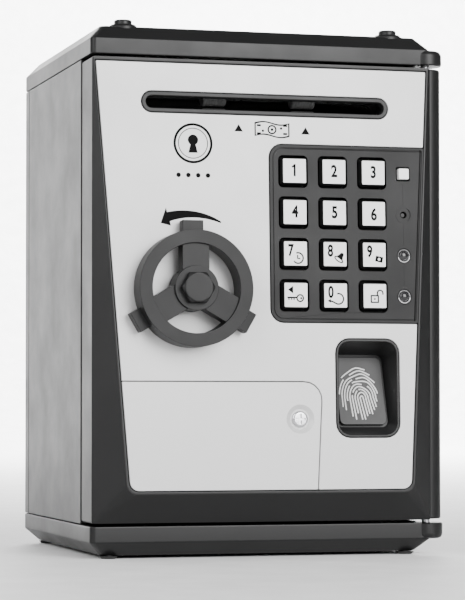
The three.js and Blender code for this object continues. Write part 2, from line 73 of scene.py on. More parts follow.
# ---------------------------------------------------------------- floor and lights
# A pale sweep of painted board runs flat under the bank and curves up well behind it.
# A dim surround keeps the black mouldings dark. Soft lamps stand at the left, at the front right and
# behind, and a strong one lights only the far end of the sweep.
def finish(
    name, colour, roughness,
    grain=0.4, relief=0.006, metallic=0.0, mottle=0.06, patchy=0.05, shine=0.5,
):
    """A finish whose grain stands in relief, with a gloss and a tone that drift from place to place."""
    patch_size = 22
    patch_low = 0.3
    patch_high = 0.7
    material = bpy.data.materials.new(name)
    material.use_nodes = True
    nodes = material.node_tree.nodes
    links = material.node_tree.links
    shader = nodes["Principled BSDF"]
    shader.inputs["Metallic"].default_value = metallic
    shader.inputs["Specular IOR Level"].default_value = shine
    place = nodes.new("ShaderNodeTexCoord")
    fine = nodes.new("ShaderNodeTexNoise")
    fine.inputs["Scale"].default_value = 1 / (grain * mm)
    fine.inputs["Detail"].default_value = 3
    links.new(place.outputs["Object"], fine.inputs["Vector"])
    bump = nodes.new("ShaderNodeBump")
    bump.inputs["Strength"].default_value = 0.5
    bump.inputs["Distance"].default_value = relief * mm
    links.new(fine.outputs["Fac"], bump.inputs["Height"])
    links.new(bump.outputs["Normal"], shader.inputs["Normal"])
    broad = nodes.new("ShaderNodeTexNoise")
    broad.inputs["Scale"].default_value = 1 / (patch_size * mm)
    broad.inputs["Detail"].default_value = 4
    broad.inputs["Roughness"].default_value = 0.6
    links.new(place.outputs["Object"], broad.inputs["Vector"])
    gloss = nodes.new("ShaderNodeMapRange")
    gloss.inputs["From Min"].default_value = patch_low
    gloss.inputs["From Max"].default_value = patch_high
    gloss.inputs["To Min"].default_value = roughness - patchy
    gloss.inputs["To Max"].default_value = roughness + patchy
    links.new(broad.outputs["Fac"], gloss.inputs["Value"])
    links.new(gloss.outputs["Result"], shader.inputs["Roughness"])
    tone = nodes.new("ShaderNodeValToRGB")
    tone.color_ramp.elements[0].position = patch_low
    tone.color_ramp.elements[0].color = (*[c * (1 - mottle) for c in colour], 1)
    tone.color_ramp.elements[1].position = patch_high
    tone.color_ramp.elements[1].color = (*[c * (1 + mottle) for c in colour], 1)
    links.new(broad.outputs["Fac"], tone.inputs["Fac"])
    links.new(tone.outputs["Color"], shader.inputs["Base Color"])
    return material


sweep_width = 7000
sweep_bend = 900
sweep_near = -3500
sweep_start = 2400
sweep_height = 3500
bend_steps = 12
sweep_line = [(sweep_near, 0), (sweep_start, 0)]
for step in range(1, bend_steps + 1):
    turn = math.radians(90) * step / bend_steps
    sweep_line.append((sweep_start + sweep_bend * math.sin(turn), sweep_bend * (1 - math.cos(turn))))
sweep_line.append((sweep_start + sweep_bend, sweep_height))
sweep_mesh = bpy.data.meshes.new("floor_sweep")
sweep_mesh.from_pydata(
    [Vector((side * sweep_width / 2, y, z)) * mm for y, z in sweep_line for side in (-1, 1)],
    [],
    [(2 * i, 2 * i + 1, 2 * i + 3, 2 * i + 2) for i in range(len(sweep_line) - 1)],
)
sweep_mesh.shade_smooth()
floor_sweep = bpy.data.objects.new("floor_sweep", sweep_mesh)
floor_sweep.data.materials.append(finish("painted_board", (0.8, 0.8, 0.8), 0.6, grain=3, relief=0.05))
scene.collection.objects.link(floor_sweep)

scene.world = bpy.data.worlds.new("dim_surround")
scene.world.use_nodes = True
surround = scene.world.node_tree.nodes["Background"]
surround.inputs["Color"].default_value = (1, 1, 1, 1)
surround.inputs["Strength"].default_value = 0.25

bank_middle = (0, 0, 90)
sweep_middle = (900, 3300, 300)
for name, place, aim, size, power in [
    ("lamp_left", (-1200, -900, 900), bank_middle, 1.2, 24),
    ("lamp_front", (420, -1350, 620), bank_middle, 0.9, 35),
    ("lamp_behind", (-1300, 1500, 700), bank_middle, 1.4, 10),
    ("lamp_sweep", (1100, 1500, 1700), sweep_middle, 1.2, 420),
]:
    lamp = bpy.data.objects.new(name, bpy.data.lights.new(name, "AREA"))
    lamp.data.size = size
    lamp.data.energy = power
    lamp.location = Vector(place) * mm
    lamp.rotation_euler = (Vector(aim) * mm - lamp.location).to_track_quat("-Z", "Y").to_euler()
    scene.collection.objects.link(lamp)


# ---------------------------------------------------------------- base
# The base is one satin black moulding: a shallow tray with a slanted lower edge and an upright band
# round it. An ear at its front right corner takes the lower hinge pin of the door.
def rounded(corners, steps=5, along=1):
    """Points round a closed outline of corners (x, y, radius), anticlockwise, with a rounded turn at each."""
    turns = []
    for i, (x, y, radius) in enumerate(corners):
        here = Vector((x, y))
        back = (Vector(corners[i - 1][:2]) - here).normalized()
        on = (Vector(corners[(i + 1) % len(corners)][:2]) - here).normalized()
        half = math.acos(max(-1, min(1, back.dot(on)))) / 2
        radius = max(radius, 0.01)
        centre = here + (back + on).normalized() * radius / math.sin(half)
        first = here + back * radius / math.tan(half) - centre
        last = here + on * radius / math.tan(half) - centre
        spread = math.pi - 2 * half
        shares = [step / steps for step in range(steps + 1)]
        turns.append([
            centre + (first * math.sin((1 - s) * spread) + last * math.sin(s * spread)) / math.sin(spread)
            for s in shares
        ])
    points = []
    for i, turn in enumerate(turns):
        points += turn
        onward = turns[(i + 1) % len(turns)][0]
        points += [turn[-1].lerp(onward, step / along) for step in range(1, along)]
    return points


def box_outline(half_x, half_y, radius, middle=(0, 0)):
    x, y = middle
    corners = [(x - half_x, y - half_y), (x + half_x, y - half_y)]
    corners += [(x + half_x, y + half_y), (x - half_x, y + half_y)]
    return rounded([(*corner, radius) for corner in corners])


def add_loft(body, loops, closed=False):
    """A skin through loops of points, in order, with the two ends capped or joined to each other."""
    rows = [[body.verts.new(point) for point in loop] for loop in loops]
    count = len(rows[0])
    for row, following in zip(rows, rows[1:] + ([rows[0]] if closed else [])):
        for i in range(count):
            j = (i + 1) % count
            body.faces.new((row[i], row[j], following[j], following[i]))
    if not closed:
        body.faces.new(rows[0])
        body.faces.new(rows[-1])


def add_turned(body, profile, at, axis="z", sides=48):
    """A turned body: profile holds (radius, place along the axis), at is the centre on the other axes."""
    loops = []
    for radius, place in profile:
        loop = []
        for step in range(sides):
            a = 2 * math.pi * step / sides
            u = at[0] + radius * math.cos(a)
            v = at[1] + radius * math.sin(a)
            loop.append({"x": (place, u, v), "y": (u, place, v), "z": (u, v, place)}[axis])
        loops.append(loop)
    add_loft(body, loops)


def level_normals(body, crease):
    """A direction for each corner of each face: flat areas stay flat and rounded edges blend into them."""
    same_plane = math.radians(0.3)
    open_edge = math.pi
    body.faces.index_update()
    area_of = list(range(len(body.faces)))

    def first_of(number):
        while area_of[number] != number:
            area_of[number] = area_of[area_of[number]]
            number = area_of[number]
        return number

    for edge in body.edges:
        if len(edge.link_faces) == 2 and edge.calc_face_angle(open_edge) < same_plane:
            a, b = (first_of(face.index) for face in edge.link_faces)
            area_of[a] = b
    sizes = [0] * len(body.faces)
    for face in body.faces:
        sizes[first_of(face.index)] += face.calc_area()
    weights = [face.normal * sizes[first_of(face.index)] for face in body.faces]
    least = math.cos(math.radians(crease))
    corners = []
    for face in body.faces:
        for loop in face.loops:
            total = Vector()
            for other in loop.vert.link_faces:
                if other.normal.dot(face.normal) > least:
                    total += weights[other.index]
            corners.append(total.normalized())
    return corners


def make(name, body, placing, material, crease=32):
    """One object from a body of mesh: doubles merged, faces turned outwards, soft except at real edges."""
    body.transform(placing)
    bmesh.ops.remove_doubles(body, verts=body.verts, dist=0.0005 * mm)
    bmesh.ops.dissolve_degenerate(body, edges=body.edges, dist=0.0002 * mm)
    bmesh.ops.recalc_face_normals(body, faces=body.faces)
    corners = level_normals(body, crease)
    mesh = bpy.data.meshes.new(name)
    body.to_mesh(mesh)
    body.free()
    mesh.shade_smooth()
    mesh.set_sharp_from_angle(angle=math.radians(crease))
    mesh.normals_split_custom_set(corners)
    mesh.materials.append(material)
    made = bpy.data.objects.new(name, mesh)
    scene.collection.objects.link(made)
    return made


half_width = (rear_high.x - rear_low.x) / 2 / mm
case_wall = 2.2
corner_round = 2.0
chamfer = 4.6
base_bottom = 1.2
band_bottom = base_bottom + chamfer
base_top = 11.6
hinge = (63.1, -54.5)
ear_radius = 6.1
pin_hole = 1.8


def level(inset, z, radius=corner_round):
    """The case's outline at one height, drawn in by inset."""
    return [(p.x, p.y, z) for p in box_outline(half_width - inset, half_depth - inset, radius)]


black_satin = finish("black_satin_moulding", (0.006, 0.006, 0.0062), 0.4, grain=0.35, relief=0.004, shine=0.3)
body = bmesh.new()
add_loft(body, [
    level(chamfer + 0.6, base_bottom),
    level(chamfer + 0.1, base_bottom + 0.15),
    level(0.35, band_bottom - 0.3),
    level(0.05, band_bottom + 0.1),
    level(0, band_bottom + 0.5),
    level(0, base_top - 0.5),
    level(0.15, base_top - 0.15),
    level(0.5, base_top),
    level(case_wall - 0.3, base_top),
    level(case_wall, base_top - 0.3),
    level(case_wall, band_bottom + 0.6),
    level(case_wall + 3.2, base_bottom + case_wall),
])
add_turned(body, [
    (0, band_bottom), (ear_radius - 1.6, band_bottom), (ear_radius - 0.6, band_bottom + 0.4),
    (ear_radius - 0.1, band_bottom + 1.2), (ear_radius, band_bottom + 2), (ear_radius, base_top - 0.5),
    (ear_radius - 0.4, base_top - 0.05), (pin_hole, base_top - 0.05), (pin_hole, 7.6), (0, 7.6),
], hinge)
base = make("base_tray", body, case, black_satin)
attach(base, "case")
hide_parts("base")

# ---------------------------------------------------------------- feet
# Four turned rubber feet stand under the base, one near each corner.
# Each is a shallow button, narrower at its sole, with a short stem that runs up into the base.
foot_rubber = finish("foot_rubber", (0.018, 0.018, 0.018), 0.75, grain=0.3, relief=0.012)
for corner in ("front_left", "front_right", "back_left", "back_right"):
    low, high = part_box("foot_" + corner)
    middle = (low + high) / 2 - case_middle
    body = bmesh.new()
    add_turned(body, [
        (0, 0), (2.2, 0), (2.5, 0.06), (3.2, 0.8), (3.3, 0.9), (3.2, 0.95), (1.5, 0.95), (1.5, 2.2), (0, 2.2),
    ], (middle.x / mm, middle.y / mm), sides=40)
    foot = make("foot_" + corner + "_button", body, case, foot_rubber)
    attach(foot, "case")
    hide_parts("foot_" + corner)


# ---------------------------------------------------------------- side walls
# Two flat black wall panels stand in the base's band and run back from the door to the rear cover.
# The left one has a strike tab moulded on its inside, which the latch bolt of the door shoots through.
def add_bar(body, low, high, edge=0.3):
    """A straight bar between two corners, with its edges rounded off."""
    made = bmesh.ops.create_cube(body, size=1)["verts"]
    for vert in made:
        vert.co = [lo + (c + 0.5) * (hi - lo) for lo, hi, c in zip(low, high, vert.co)]
    edges = list({e for vert in made for e in vert.link_edges})
    bmesh.ops.bevel(body, geom=edges, offset=edge, segments=2, profile=0.5, affect="EDGES")


wall_front = -43.2
wall_back = 50.9
wall_bottom = 11.9
wall_top = 178.0
wall_inside = half_width - case_wall
wall_edge = 0.35
tab_x = (-59.4, -57.6)
tab_y = (-54, -36)
tab_z = (85, 104.6)
hole_y = (-53, -47.8)
hole_z = (90.3, 98.7)
body = bmesh.new()
add_bar(body, (wall_inside, wall_front, wall_bottom), (half_width, wall_back, wall_top), wall_edge)
wall_right = make("side_wall_right", body, case, black_satin)
body = bmesh.new()
add_bar(body, (-half_width, wall_front, wall_bottom), (-wall_inside, wall_back, wall_top), wall_edge)
add_bar(body, (-wall_inside - 0.5, wall_front + 0.5, tab_z[0]), (tab_x[1], tab_y[1], tab_z[1]))
for y, z in (
    ((tab_y[0], hole_y[0]), tab_z), ((hole_y[1], tab_y[1]), tab_z),
    (tab_y, (tab_z[0], hole_z[0])), (tab_y, (hole_z[1], tab_z[1])),
):
    add_bar(body, (tab_x[0], y[0], z[0]), (tab_x[1], y[1], z[1]))
wall_left = make("side_wall_left", body, case, black_satin)
for wall, node in ((wall_right, "side_panel_right"), (wall_left, "side_panel_left")):
    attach(wall, "case")
    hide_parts(node)


# ---------------------------------------------------------------- rear cover
# The back of the case is a shallow channel of the same moulding, with four steel screws whose pan heads
# are sunk into it near its corners. Its front edges butt against the side walls.
def worked_mesh(shown):
    """A plain mesh of what an object shows, with its modifiers or its typeface worked in."""
    graph = bpy.context.evaluated_depsgraph_get()
    return bpy.data.meshes.new_from_object(shown.evaluated_get(graph))


def combined(name, bodies, placing, material, how, bevel=0.0):
    """The first body joined with, or cut by, the others, with its edges eased."""
    parts = [make(name + "_part", part, Matrix.Identity(4), material) for part in bodies]
    for part in parts[1:]:
        step = parts[0].modifiers.new("step", "BOOLEAN")
        step.operation = how
        step.solver = "EXACT"
        step.object = part
        part.hide_render = True
    if bevel:
        ease = parts[0].modifiers.new("ease", "BEVEL")
        ease.width = bevel
        ease.segments = 2
        ease.limit_method = "ANGLE"
        ease.angle_limit = math.radians(38)
    result = bmesh.new()
    result.from_mesh(worked_mesh(parts[0]))
    for part in parts:
        bpy.data.objects.remove(part)
    return make(name, result, placing, material)


cover_front = 51.2
cover_outline = rounded([
    (-half_width, cover_front, 0.3), (-wall_inside, cover_front, 0.3),
    (-wall_inside, half_depth - case_wall, 0.4), (wall_inside, half_depth - case_wall, 0.4),
    (wall_inside, cover_front, 0.3), (half_width, cover_front, 0.3),
    (half_width, half_depth, corner_round), (-half_width, half_depth, corner_round),
])
channel = bmesh.new()
add_loft(channel, [[(p.x, p.y, z) for p in cover_outline] for z in (wall_bottom, wall_top)])
screw_places = [(x, z) for x in (-52, 52) for z in (22, 168)]
sink_floor = 58.2
sinks = []
for x, z in screw_places:
    sink = bmesh.new()
    add_turned(sink, [(0, sink_floor), (2.9, sink_floor), (3.3, 60), (0, 60)], (x, z), axis="y")
    sinks.append(sink)
rear_cover = combined("rear_channel", [channel, *sinks], case, black_satin, "DIFFERENCE", bevel=0.3)
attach(rear_cover, "case")
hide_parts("rear_cover")


def copies_tree(name):
    """Geometry Nodes that set a copy of one piece at each point of a mesh, turned as the point says."""
    tree = bpy.data.node_groups.new(name, "GeometryNodeTree")
    tree.interface.new_socket("Geometry", in_out="INPUT", socket_type="NodeSocketGeometry")
    tree.interface.new_socket("Piece", in_out="INPUT", socket_type="NodeSocketObject")
    tree.interface.new_socket("Finish", in_out="INPUT", socket_type="NodeSocketMaterial")
    tree.interface.new_socket("Turn", in_out="INPUT", socket_type="NodeSocketVector")
    tree.interface.new_socket("Random Turn", in_out="INPUT", socket_type="NodeSocketFloat")
    tree.interface.new_socket("Seed", in_out="INPUT", socket_type="NodeSocketInt")
    tree.interface.new_socket("Geometry", in_out="OUTPUT", socket_type="NodeSocketGeometry")
    start = tree.nodes.new("NodeGroupInput")
    end = tree.nodes.new("NodeGroupOutput")
    piece = tree.nodes.new("GeometryNodeObjectInfo")
    place = tree.nodes.new("GeometryNodeInstanceOnPoints")
    chance = tree.nodes.new("FunctionNodeRandomValue")
    own_turn = tree.nodes.new("ShaderNodeCombineXYZ")
    spin = tree.nodes.new("GeometryNodeRotateInstances")
    real = tree.nodes.new("GeometryNodeRealizeInstances")
    paint = tree.nodes.new("GeometryNodeSetMaterial")
    link = tree.links.new
    link(start.outputs["Geometry"], place.inputs["Points"])
    link(start.outputs["Piece"], piece.inputs["Object"])
    link(piece.outputs["Geometry"], place.inputs["Instance"])
    link(start.outputs["Turn"], place.inputs["Rotation"])
    link(start.outputs["Random Turn"], chance.inputs["Max"])
    link(start.outputs["Seed"], chance.inputs["Seed"])
    link(chance.outputs["Value"], own_turn.inputs["Z"])
    link(place.outputs["Instances"], spin.inputs["Instances"])
    link(own_turn.outputs["Vector"], spin.inputs["Rotation"])
    link(spin.outputs["Instances"], real.inputs["Geometry"])
    link(real.outputs["Geometry"], paint.inputs["Geometry"])
    link(start.outputs["Finish"], paint.inputs["Material"])
    link(paint.outputs["Geometry"], end.inputs["Geometry"])
    return tree


def grown(name, guide, tree, material, **values):
    """A plain mesh object from a guide mesh run through a tree, whose inputs are set by their names."""
    holder = bpy.data.objects.new(name, guide)
    scene.collection.objects.link(holder)
    nodes = holder.modifiers.new("nodes", "NODES")
    nodes.node_group = tree
    sockets = {item.name: item.identifier for item in tree.interface.items_tree if item.in_out == "INPUT"}
    nodes[sockets["Finish"]] = material
    for key, value in values.items():
        nodes[sockets[key.replace("_", " ")]] = value
    mesh = worked_mesh(holder)
    bpy.data.objects.remove(holder)
    made = bpy.data.objects.new(name, mesh)
    scene.collection.objects.link(made)
    return made


def points(places):
    """A mesh of loose points, in metres."""
    mesh = bpy.data.meshes.new("points")
    mesh.from_pydata(places, [], [])
    return mesh


def screw_head(name, radius, height, material):
    """A pan head with a cross recess, standing on its origin along +Z."""
    head = bmesh.new()
    add_turned(head, [
        (0, 0), (radius, 0), (radius, height * 0.35), (radius * 0.93, height * 0.6),
        (radius * 0.75, height * 0.85), (radius * 0.45, height), (0, height),
    ], (0, 0), sides=40)
    arm = radius * 0.62
    width = radius * 0.15
    bars = []
    for reach in ((arm, width), (width, arm)):
        bar = bmesh.new()
        low = (-reach[0], -reach[1], height * 0.35)
        high = (reach[0], reach[1], height + 1)
        add_bar(bar, low, high, edge=width * 0.2)
        bars.append(bar)
    return combined(name, [head, *bars], Matrix.Scale(mm, 4), material, "DIFFERENCE", bevel=0.04)


steel_finish = finish("zinc_steel", (0.62, 0.62, 0.64), 0.3, grain=0.15, relief=0.003, metallic=1, patchy=0.1)
copies = copies_tree("copies_on_points")
pan_screw = screw_head("pan_screw", 2.6, 1.2, steel_finish)
rear_screws = grown(
    "rear_screws",
    points([case @ Vector((x, sink_floor, z)) for x, z in screw_places]),
    copies, steel_finish, Piece=pan_screw, Turn=(math.radians(-90), 0, 0), Random_Turn=1.4, Seed=3,
)
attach(rear_screws, "case")

# ---------------------------------------------------------------- lid
# The lid mirrors the base: an upright band, a slanted edge and a flat top, in the same black moulding.
# It has a coin slot in the middle, a round stud near each corner and an ear for the upper hinge pin.
lid_bottom = 178.3
lid_band_top = 184.1
lid_top = 188.9
slot_half = (16, 2.4)


def slot_level(grow, z):
    outline = box_outline(slot_half[0] + grow, slot_half[1] + grow, 2.2 + grow)
    return [(p.x, p.y, z) for p in outline]


body = bmesh.new()
add_loft(body, [
    level(case_wall - 0.3, lid_bottom),
    level(0.5, lid_bottom),
    level(0.15, lid_bottom + 0.15),
    level(0, lid_bottom + 0.5),
    level(0, lid_band_top - 0.4),
    level(0.08, lid_band_top - 0.1),
    level(0.35, lid_band_top + 0.25),
    level(chamfer - 0.15, lid_top - 0.15),
    level(chamfer + 0.5, lid_top),
    slot_level(0.6, lid_top),
    slot_level(0.15, lid_top - 0.2),
    slot_level(0, lid_top - 0.6),
    slot_level(0, lid_top - case_wall),
    level(case_wall + 3.2, lid_top - case_wall),
    level(case_wall, lid_band_top - 0.6),
    level(case_wall, lid_bottom + 0.3),
], closed=True)
stud_top = 191.7
for x in (-49.9, 49.9):
    for y in (-50.6, 50.6):
        add_turned(body, [
            (0, lid_top - 0.8), (5.2, lid_top - 0.8), (5.2, lid_top + 0.15), (4.5, lid_top + 0.9),
            (4.3, lid_top + 1), (3.3, lid_top + 1.02), (3.2, lid_top + 1.2), (3.2, stud_top - 0.5),
            (2.9, stud_top - 0.1), (2.5, stud_top), (0, stud_top),
        ], (x, y), sides=40)
add_turned(body, [
    (0, lid_band_top - 0.1), (ear_radius - 1.9, lid_band_top - 0.1), (ear_radius - 0.8, lid_band_top - 0.5),
    (ear_radius - 0.15, lid_band_top - 1.4), (ear_radius, lid_band_top - 2.2), (ear_radius, lid_bottom + 0.5),
    (ear_radius - 0.4, lid_bottom + 0.05), (pin_hole, lid_bottom + 0.05), (pin_hole, 182.3), (0, 182.3),
], hinge)
lid = make("lid_shell", body, case, black_satin)
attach(lid, "case")
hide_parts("lid")

# ---------------------------------------------------------------- hinge pins
# A short plain steel pin stands in each ear and runs into the end of the door's barrel.
# They are cut from drawn rod and have a small lead at both ends.
pin_radius = 1.5
for node in ("hinge_pin_lower", "hinge_pin_upper"):
    low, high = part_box(node)
    body = bmesh.new()
    add_turned(body, [
        (0, low.z / mm), (pin_radius - 0.3, low.z / mm), (pin_radius, low.z / mm + 0.3),
        (pin_radius, high.z / mm - 0.3), (pin_radius - 0.3, high.z / mm), (0, high.z / mm),
    ], hinge, sides=32)
    pin = make(node + "_rod", body, case, steel_finish)
    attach(pin, "case")
    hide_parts(node)

# ---------------------------------------------------------------- door frame
# The door is one deep black moulding with a leaning front: a narrow rim round the silver plate, slanted
# sides outside it, and a barrel down its right edge. A thin wall behind the plate carries the parts.
plate_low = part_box("front_plate")[0]
wheel_axis = Vector(next(j["axis"] for j in frame["joints"] if j["name"] == "wheel_turn"))
lean = math.asin(wheel_axis.z)
console_top = 177.0
plate_foot = 24.2
plate_head = 175.7
console_front = (plate_low.y - case_middle.y) / mm + (console_top - plate_foot) * math.tan(lean)
leaning = Matrix.Translation((0, console_front, console_top)) @ Matrix.Rotation(-lean, 4, "X")
console = case @ leaning  # X across, Y into the door, Z up the leaning face


def up(height):
    """A height above the table, as a distance up the leaning face."""
    return (height - console_top) / math.cos(lean)


def left_edge(height):
    return -62 + (plate_head - height) * 0.0755


def right_edge(height):
    return 61.15 - (plate_head - height) * 0.0502


def face_loop(corners, depth):
    outline = rounded([(x, up(z), r) for x, z, r in corners], along=6)
    return [leaning @ Vector((p.x, depth, p.y)) for p in outline]


def upright_loop(x, z, y, radius):
    corners = [(x[0], z[0]), (x[1], z[0]), (x[1], z[1]), (x[0], z[1])]
    return [Vector((p.x, y, p.y)) for p in rounded([(*corner, radius) for corner in corners], along=6)]


def between(loop, other, share):
    return [a.lerp(b, share) for a, b in zip(loop, other)]


def recess(grow):
    """The outline of the silver plate's recess, without the keypad's notch."""
    foot, head = plate_foot - grow, plate_head + grow
    return [
        (left_edge(foot) - grow, foot, 3.3 + grow), (right_edge(foot) + grow, foot, 3.3 + grow),
        (right_edge(head) + grow, head, 0.4), (left_edge(head) - grow, head, 0.4),
    ]


seam = 0.3
rim = 1.3
door_x = (-63.2, 63.1)
door_z = (12.7, 177.2)
door_front = -59.9
door_back = -43.5
wall_near = 1.8
wall_far = 4.0
cavity_x = (-61, 57.1)
cavity_z = (15, 174.9)
cavity_near = -56.4


def rim_corners(inset):
    foot = plate_foot - rim + inset
    return [
        (left_edge(foot) - rim + inset, foot, 4.2), (right_edge(foot) + rim - inset, foot, 4.2),
        (62.3 - inset, door_z[1] - inset, 0.4), (-62.9 + inset, door_z[1] - inset, 0.4),
    ]


def tight(span, by):
    return (span[0] + by, span[1] - by)


rim_edge = face_loop(rim_corners(0), 0)
outer_edge = upright_loop(door_x, door_z, door_front, 0.8)
shell = bmesh.new()
add_loft(shell, [
    face_loop(recess(seam), wall_far),
    face_loop(recess(seam), 0.35),
    face_loop(recess(seam + 0.08), 0.12),
    face_loop(recess(seam + 0.3), 0),
    face_loop(rim_corners(0.25), 0),
    between(rim_edge, outer_edge, 0.03),
    between(rim_edge, outer_edge, 0.95),
    between(rim_edge, upright_loop(door_x, door_z, door_front + 0.1, 0.8), 1),
    upright_loop(door_x, door_z, door_front + 0.6, 0.8),
    upright_loop(door_x, door_z, door_back - 0.4, 0.8),
    upright_loop(tight(door_x, 0.4), tight(door_z, 0.4), door_back, 0.8),
    upright_loop(tight(cavity_x, -0.3), tight(cavity_z, -0.3), door_back, 1),
    upright_loop(cavity_x, cavity_z, door_back - 0.3, 1),
    upright_loop(cavity_x, cavity_z, cavity_near, 1),
    face_loop([(-49.6, 25.6, 1), (52.4, 25.6, 1), (56.9, 174.8, 1), (-60.4, 174.8, 1)], wall_far),
], closed=True)
barrel_radius = 5.4
add_turned(shell, [
    (0, 20.5), (pin_hole, 20.5), (pin_hole, 13), (barrel_radius - 0.4, 13), (barrel_radius, 13.4),
    (barrel_radius, 176.6), (barrel_radius - 0.4, 177), (pin_hole, 177), (pin_hole, 169.5), (0, 169.5),
], hinge, sides=64)
door_black = finish("door_black_moulding", (0.006, 0.006, 0.0062), 0.4, grain=0.35, relief=0.004, shine=0.3)
door_shell = make("door_shell", shell, case, door_black)


def moved(outline, by):
    """An anticlockwise outline pushed outwards by a distance."""
    result = []
    for i, point in enumerate(outline):
        before = (point - outline[i - 1]).normalized()
        after = (outline[(i + 1) % len(outline)] - point).normalized()
        side = Vector((before.y + after.y, -before.x - after.x)).normalized()
        result.append(point + side * (by / max(0.4, side.dot(Vector((after.y, -after.x))))))
    return result


def holds(outline, point):
    """Whether a point lies inside a closed outline."""
    inside = False
    for a, b in zip(outline, outline[1:] + outline[:1]):
        if (a.y > point.y) != (b.y > point.y) and point.x < a.x + (b.x - a.x) * (point.y - a.y) / (b.y - a.y):
            inside = not inside
    return inside


def add_plate(body, outlines, near, far, edge=0.2):
    """A flat piece between two depths: the first outline is its outside, the others are holes."""
    turns = [math.radians(90) * step / 3 for step in range(4)] if edge else [math.radians(90)]
    profile = [(edge * (1 - math.sin(a)), near + edge * (1 - math.cos(a))) for a in turns]
    profile += [(inset, near + far - depth) for inset, depth in reversed(profile)]
    ends = [[], []]
    for number, outline in enumerate(outlines):
        rows = []
        for inset, depth in profile:
            row = moved(outline, inset * (1 if number else -1))
            rows.append([body.verts.new((p.x, depth, p.y)) for p in row])
            if depth in (near, far) and inset == edge * (1 if edge else 0):
                ends[0 if depth == near else 1].append((row, rows[-1]))
        for row, following in zip(rows, rows[1:]):
            for i in range(len(row)):
                j = (i + 1) % len(row)
                body.faces.new((row[i], row[j], following[j], following[i]))
    all_triangles = 0
    closeness = 1e-6
    for end in ends:
        flat_points = [point for outline, _ in end for point in outline]
        verts = [vert for _, row in end for vert in row]
        sides = []
        for outline, _ in end:
            first = len(sides)
            count = len(outline)
            sides += [(first + i, first + (i + 1) % count) for i in range(count)]
        filled = delaunay_2d_cdt(flat_points, sides, [], all_triangles, closeness)
        for triangle in filled[2]:
            middle = sum((filled[0][i] for i in triangle), Vector((0, 0))) / 3
            corners = [verts[filled[3][i][0]] for i in triangle if filled[3][i]]
            wanted = holds(end[0][0], middle) and not any(holds(hole, middle) for hole, _ in end[1:])
            if wanted and len(set(corners)) == 3:
                body.faces.new(corners)


def circle(x, z, radius, sides=36):
    """A round outline about a point on the face, z already measured up the face."""
    turns = [2 * math.pi * step / sides for step in range(sides)]
    return [Vector((x + radius * math.cos(a), z + radius * math.sin(a))) for a in turns]


def face_outline(corners):
    return rounded([(x, up(z), r) for x, z, r in corners])


slot_middle = (0.4, up(161.7))
finger_middle = (37.4, up(60.4))
hub = (-28.7, up(94.9))
cover_screw = (11.85, up(49.3))
key_pitch = 14.86
key_side = 11.0
status_x = 51.8
key_names = ["1", "2", "3", "4", "5", "6", "7", "8", "9", "back", "0", "unlock"]
key_places = {
    name: (10.1 + number % 3 * key_pitch, up(138) - number // 3 * key_pitch)
    for number, name in enumerate(key_names)
}
status_rows = [up(138) - row * key_pitch for row in range(4)]


def slot_outline(grow):
    return box_outline(45.9 + grow, 3.65 + grow, 3.6 + grow, slot_middle)


def finger_outline(grow):
    return box_outline(11.9 + grow, 17.6 + grow, 5 + grow, finger_middle)


keypad_holes = [box_outline(key_side / 2, key_side / 2 + 0.3, 1.7, place) for place in key_places.values()]
keypad_holes.append(box_outline(2.6, 2.55, 0.6, (status_x, status_rows[0])))
for row, radius in ((1, 1.2), (2, 2.65), (3, 2.65)):
    keypad_holes.append(circle(status_x, status_rows[row], radius))
bay = face_outline([(-48.8, 26, 2), (5.8, 26, 2), (5.8, 60.6, 2), (-48.8, 60.6, 2)])
body = bmesh.new()
add_plate(body, [
    face_outline(recess(seam + 0.1)), slot_outline(seam), finger_outline(seam), bay,
    circle(*hub, 3.4), circle(*cover_screw, 1.7), *keypad_holes,
], wall_near, wall_far, edge=0.1)
door_wall = make("door_front_wall", body, console, door_black)

keypad_edge = face_outline([
    (1.4, 83.9, 4.7), (right_edge(83.9) + 0.25, 83.9, 0.4),
    (right_edge(147.6) + 0.25, 147.6, 0.4), (1.4, 147.6, 4.7),
])
groove_out = 1.1
groove_in = 1.32
plate_front = -0.1
line_front = -0.18
pin_spot = (status_x, status_rows[1])
body = bmesh.new()
add_plate(body, [keypad_edge, *keypad_holes], 0.2, wall_near + 0.1)
add_plate(body, [keypad_edge, moved(keypad_edge, -groove_out)], plate_front, 0.4, edge=0.08)
add_plate(body, [moved(keypad_edge, -groove_in), *keypad_holes], plate_front, 0.4, edge=0.08)
add_plate(body, [circle(*pin_spot, 3.0), circle(*pin_spot, 2.7)], line_front, 0, edge=0)
for top, bottom in zip(status_rows, status_rows[1:]):
    spot = (status_x, (top + bottom) / 2)
    add_plate(body, [box_outline(0.12, key_pitch / 2 - 3.4, 0.05, spot)], line_front, 0, edge=0)
keypad_black = finish("keypad_moulding", (0.009, 0.009, 0.0092), 0.45, grain=0.3, relief=0.005, shine=0.2)
keypad_plate = make("keypad_plate", body, console, keypad_black)
for piece in (door_shell, door_wall, keypad_plate):
    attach(piece, "door")
    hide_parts("door_frame")

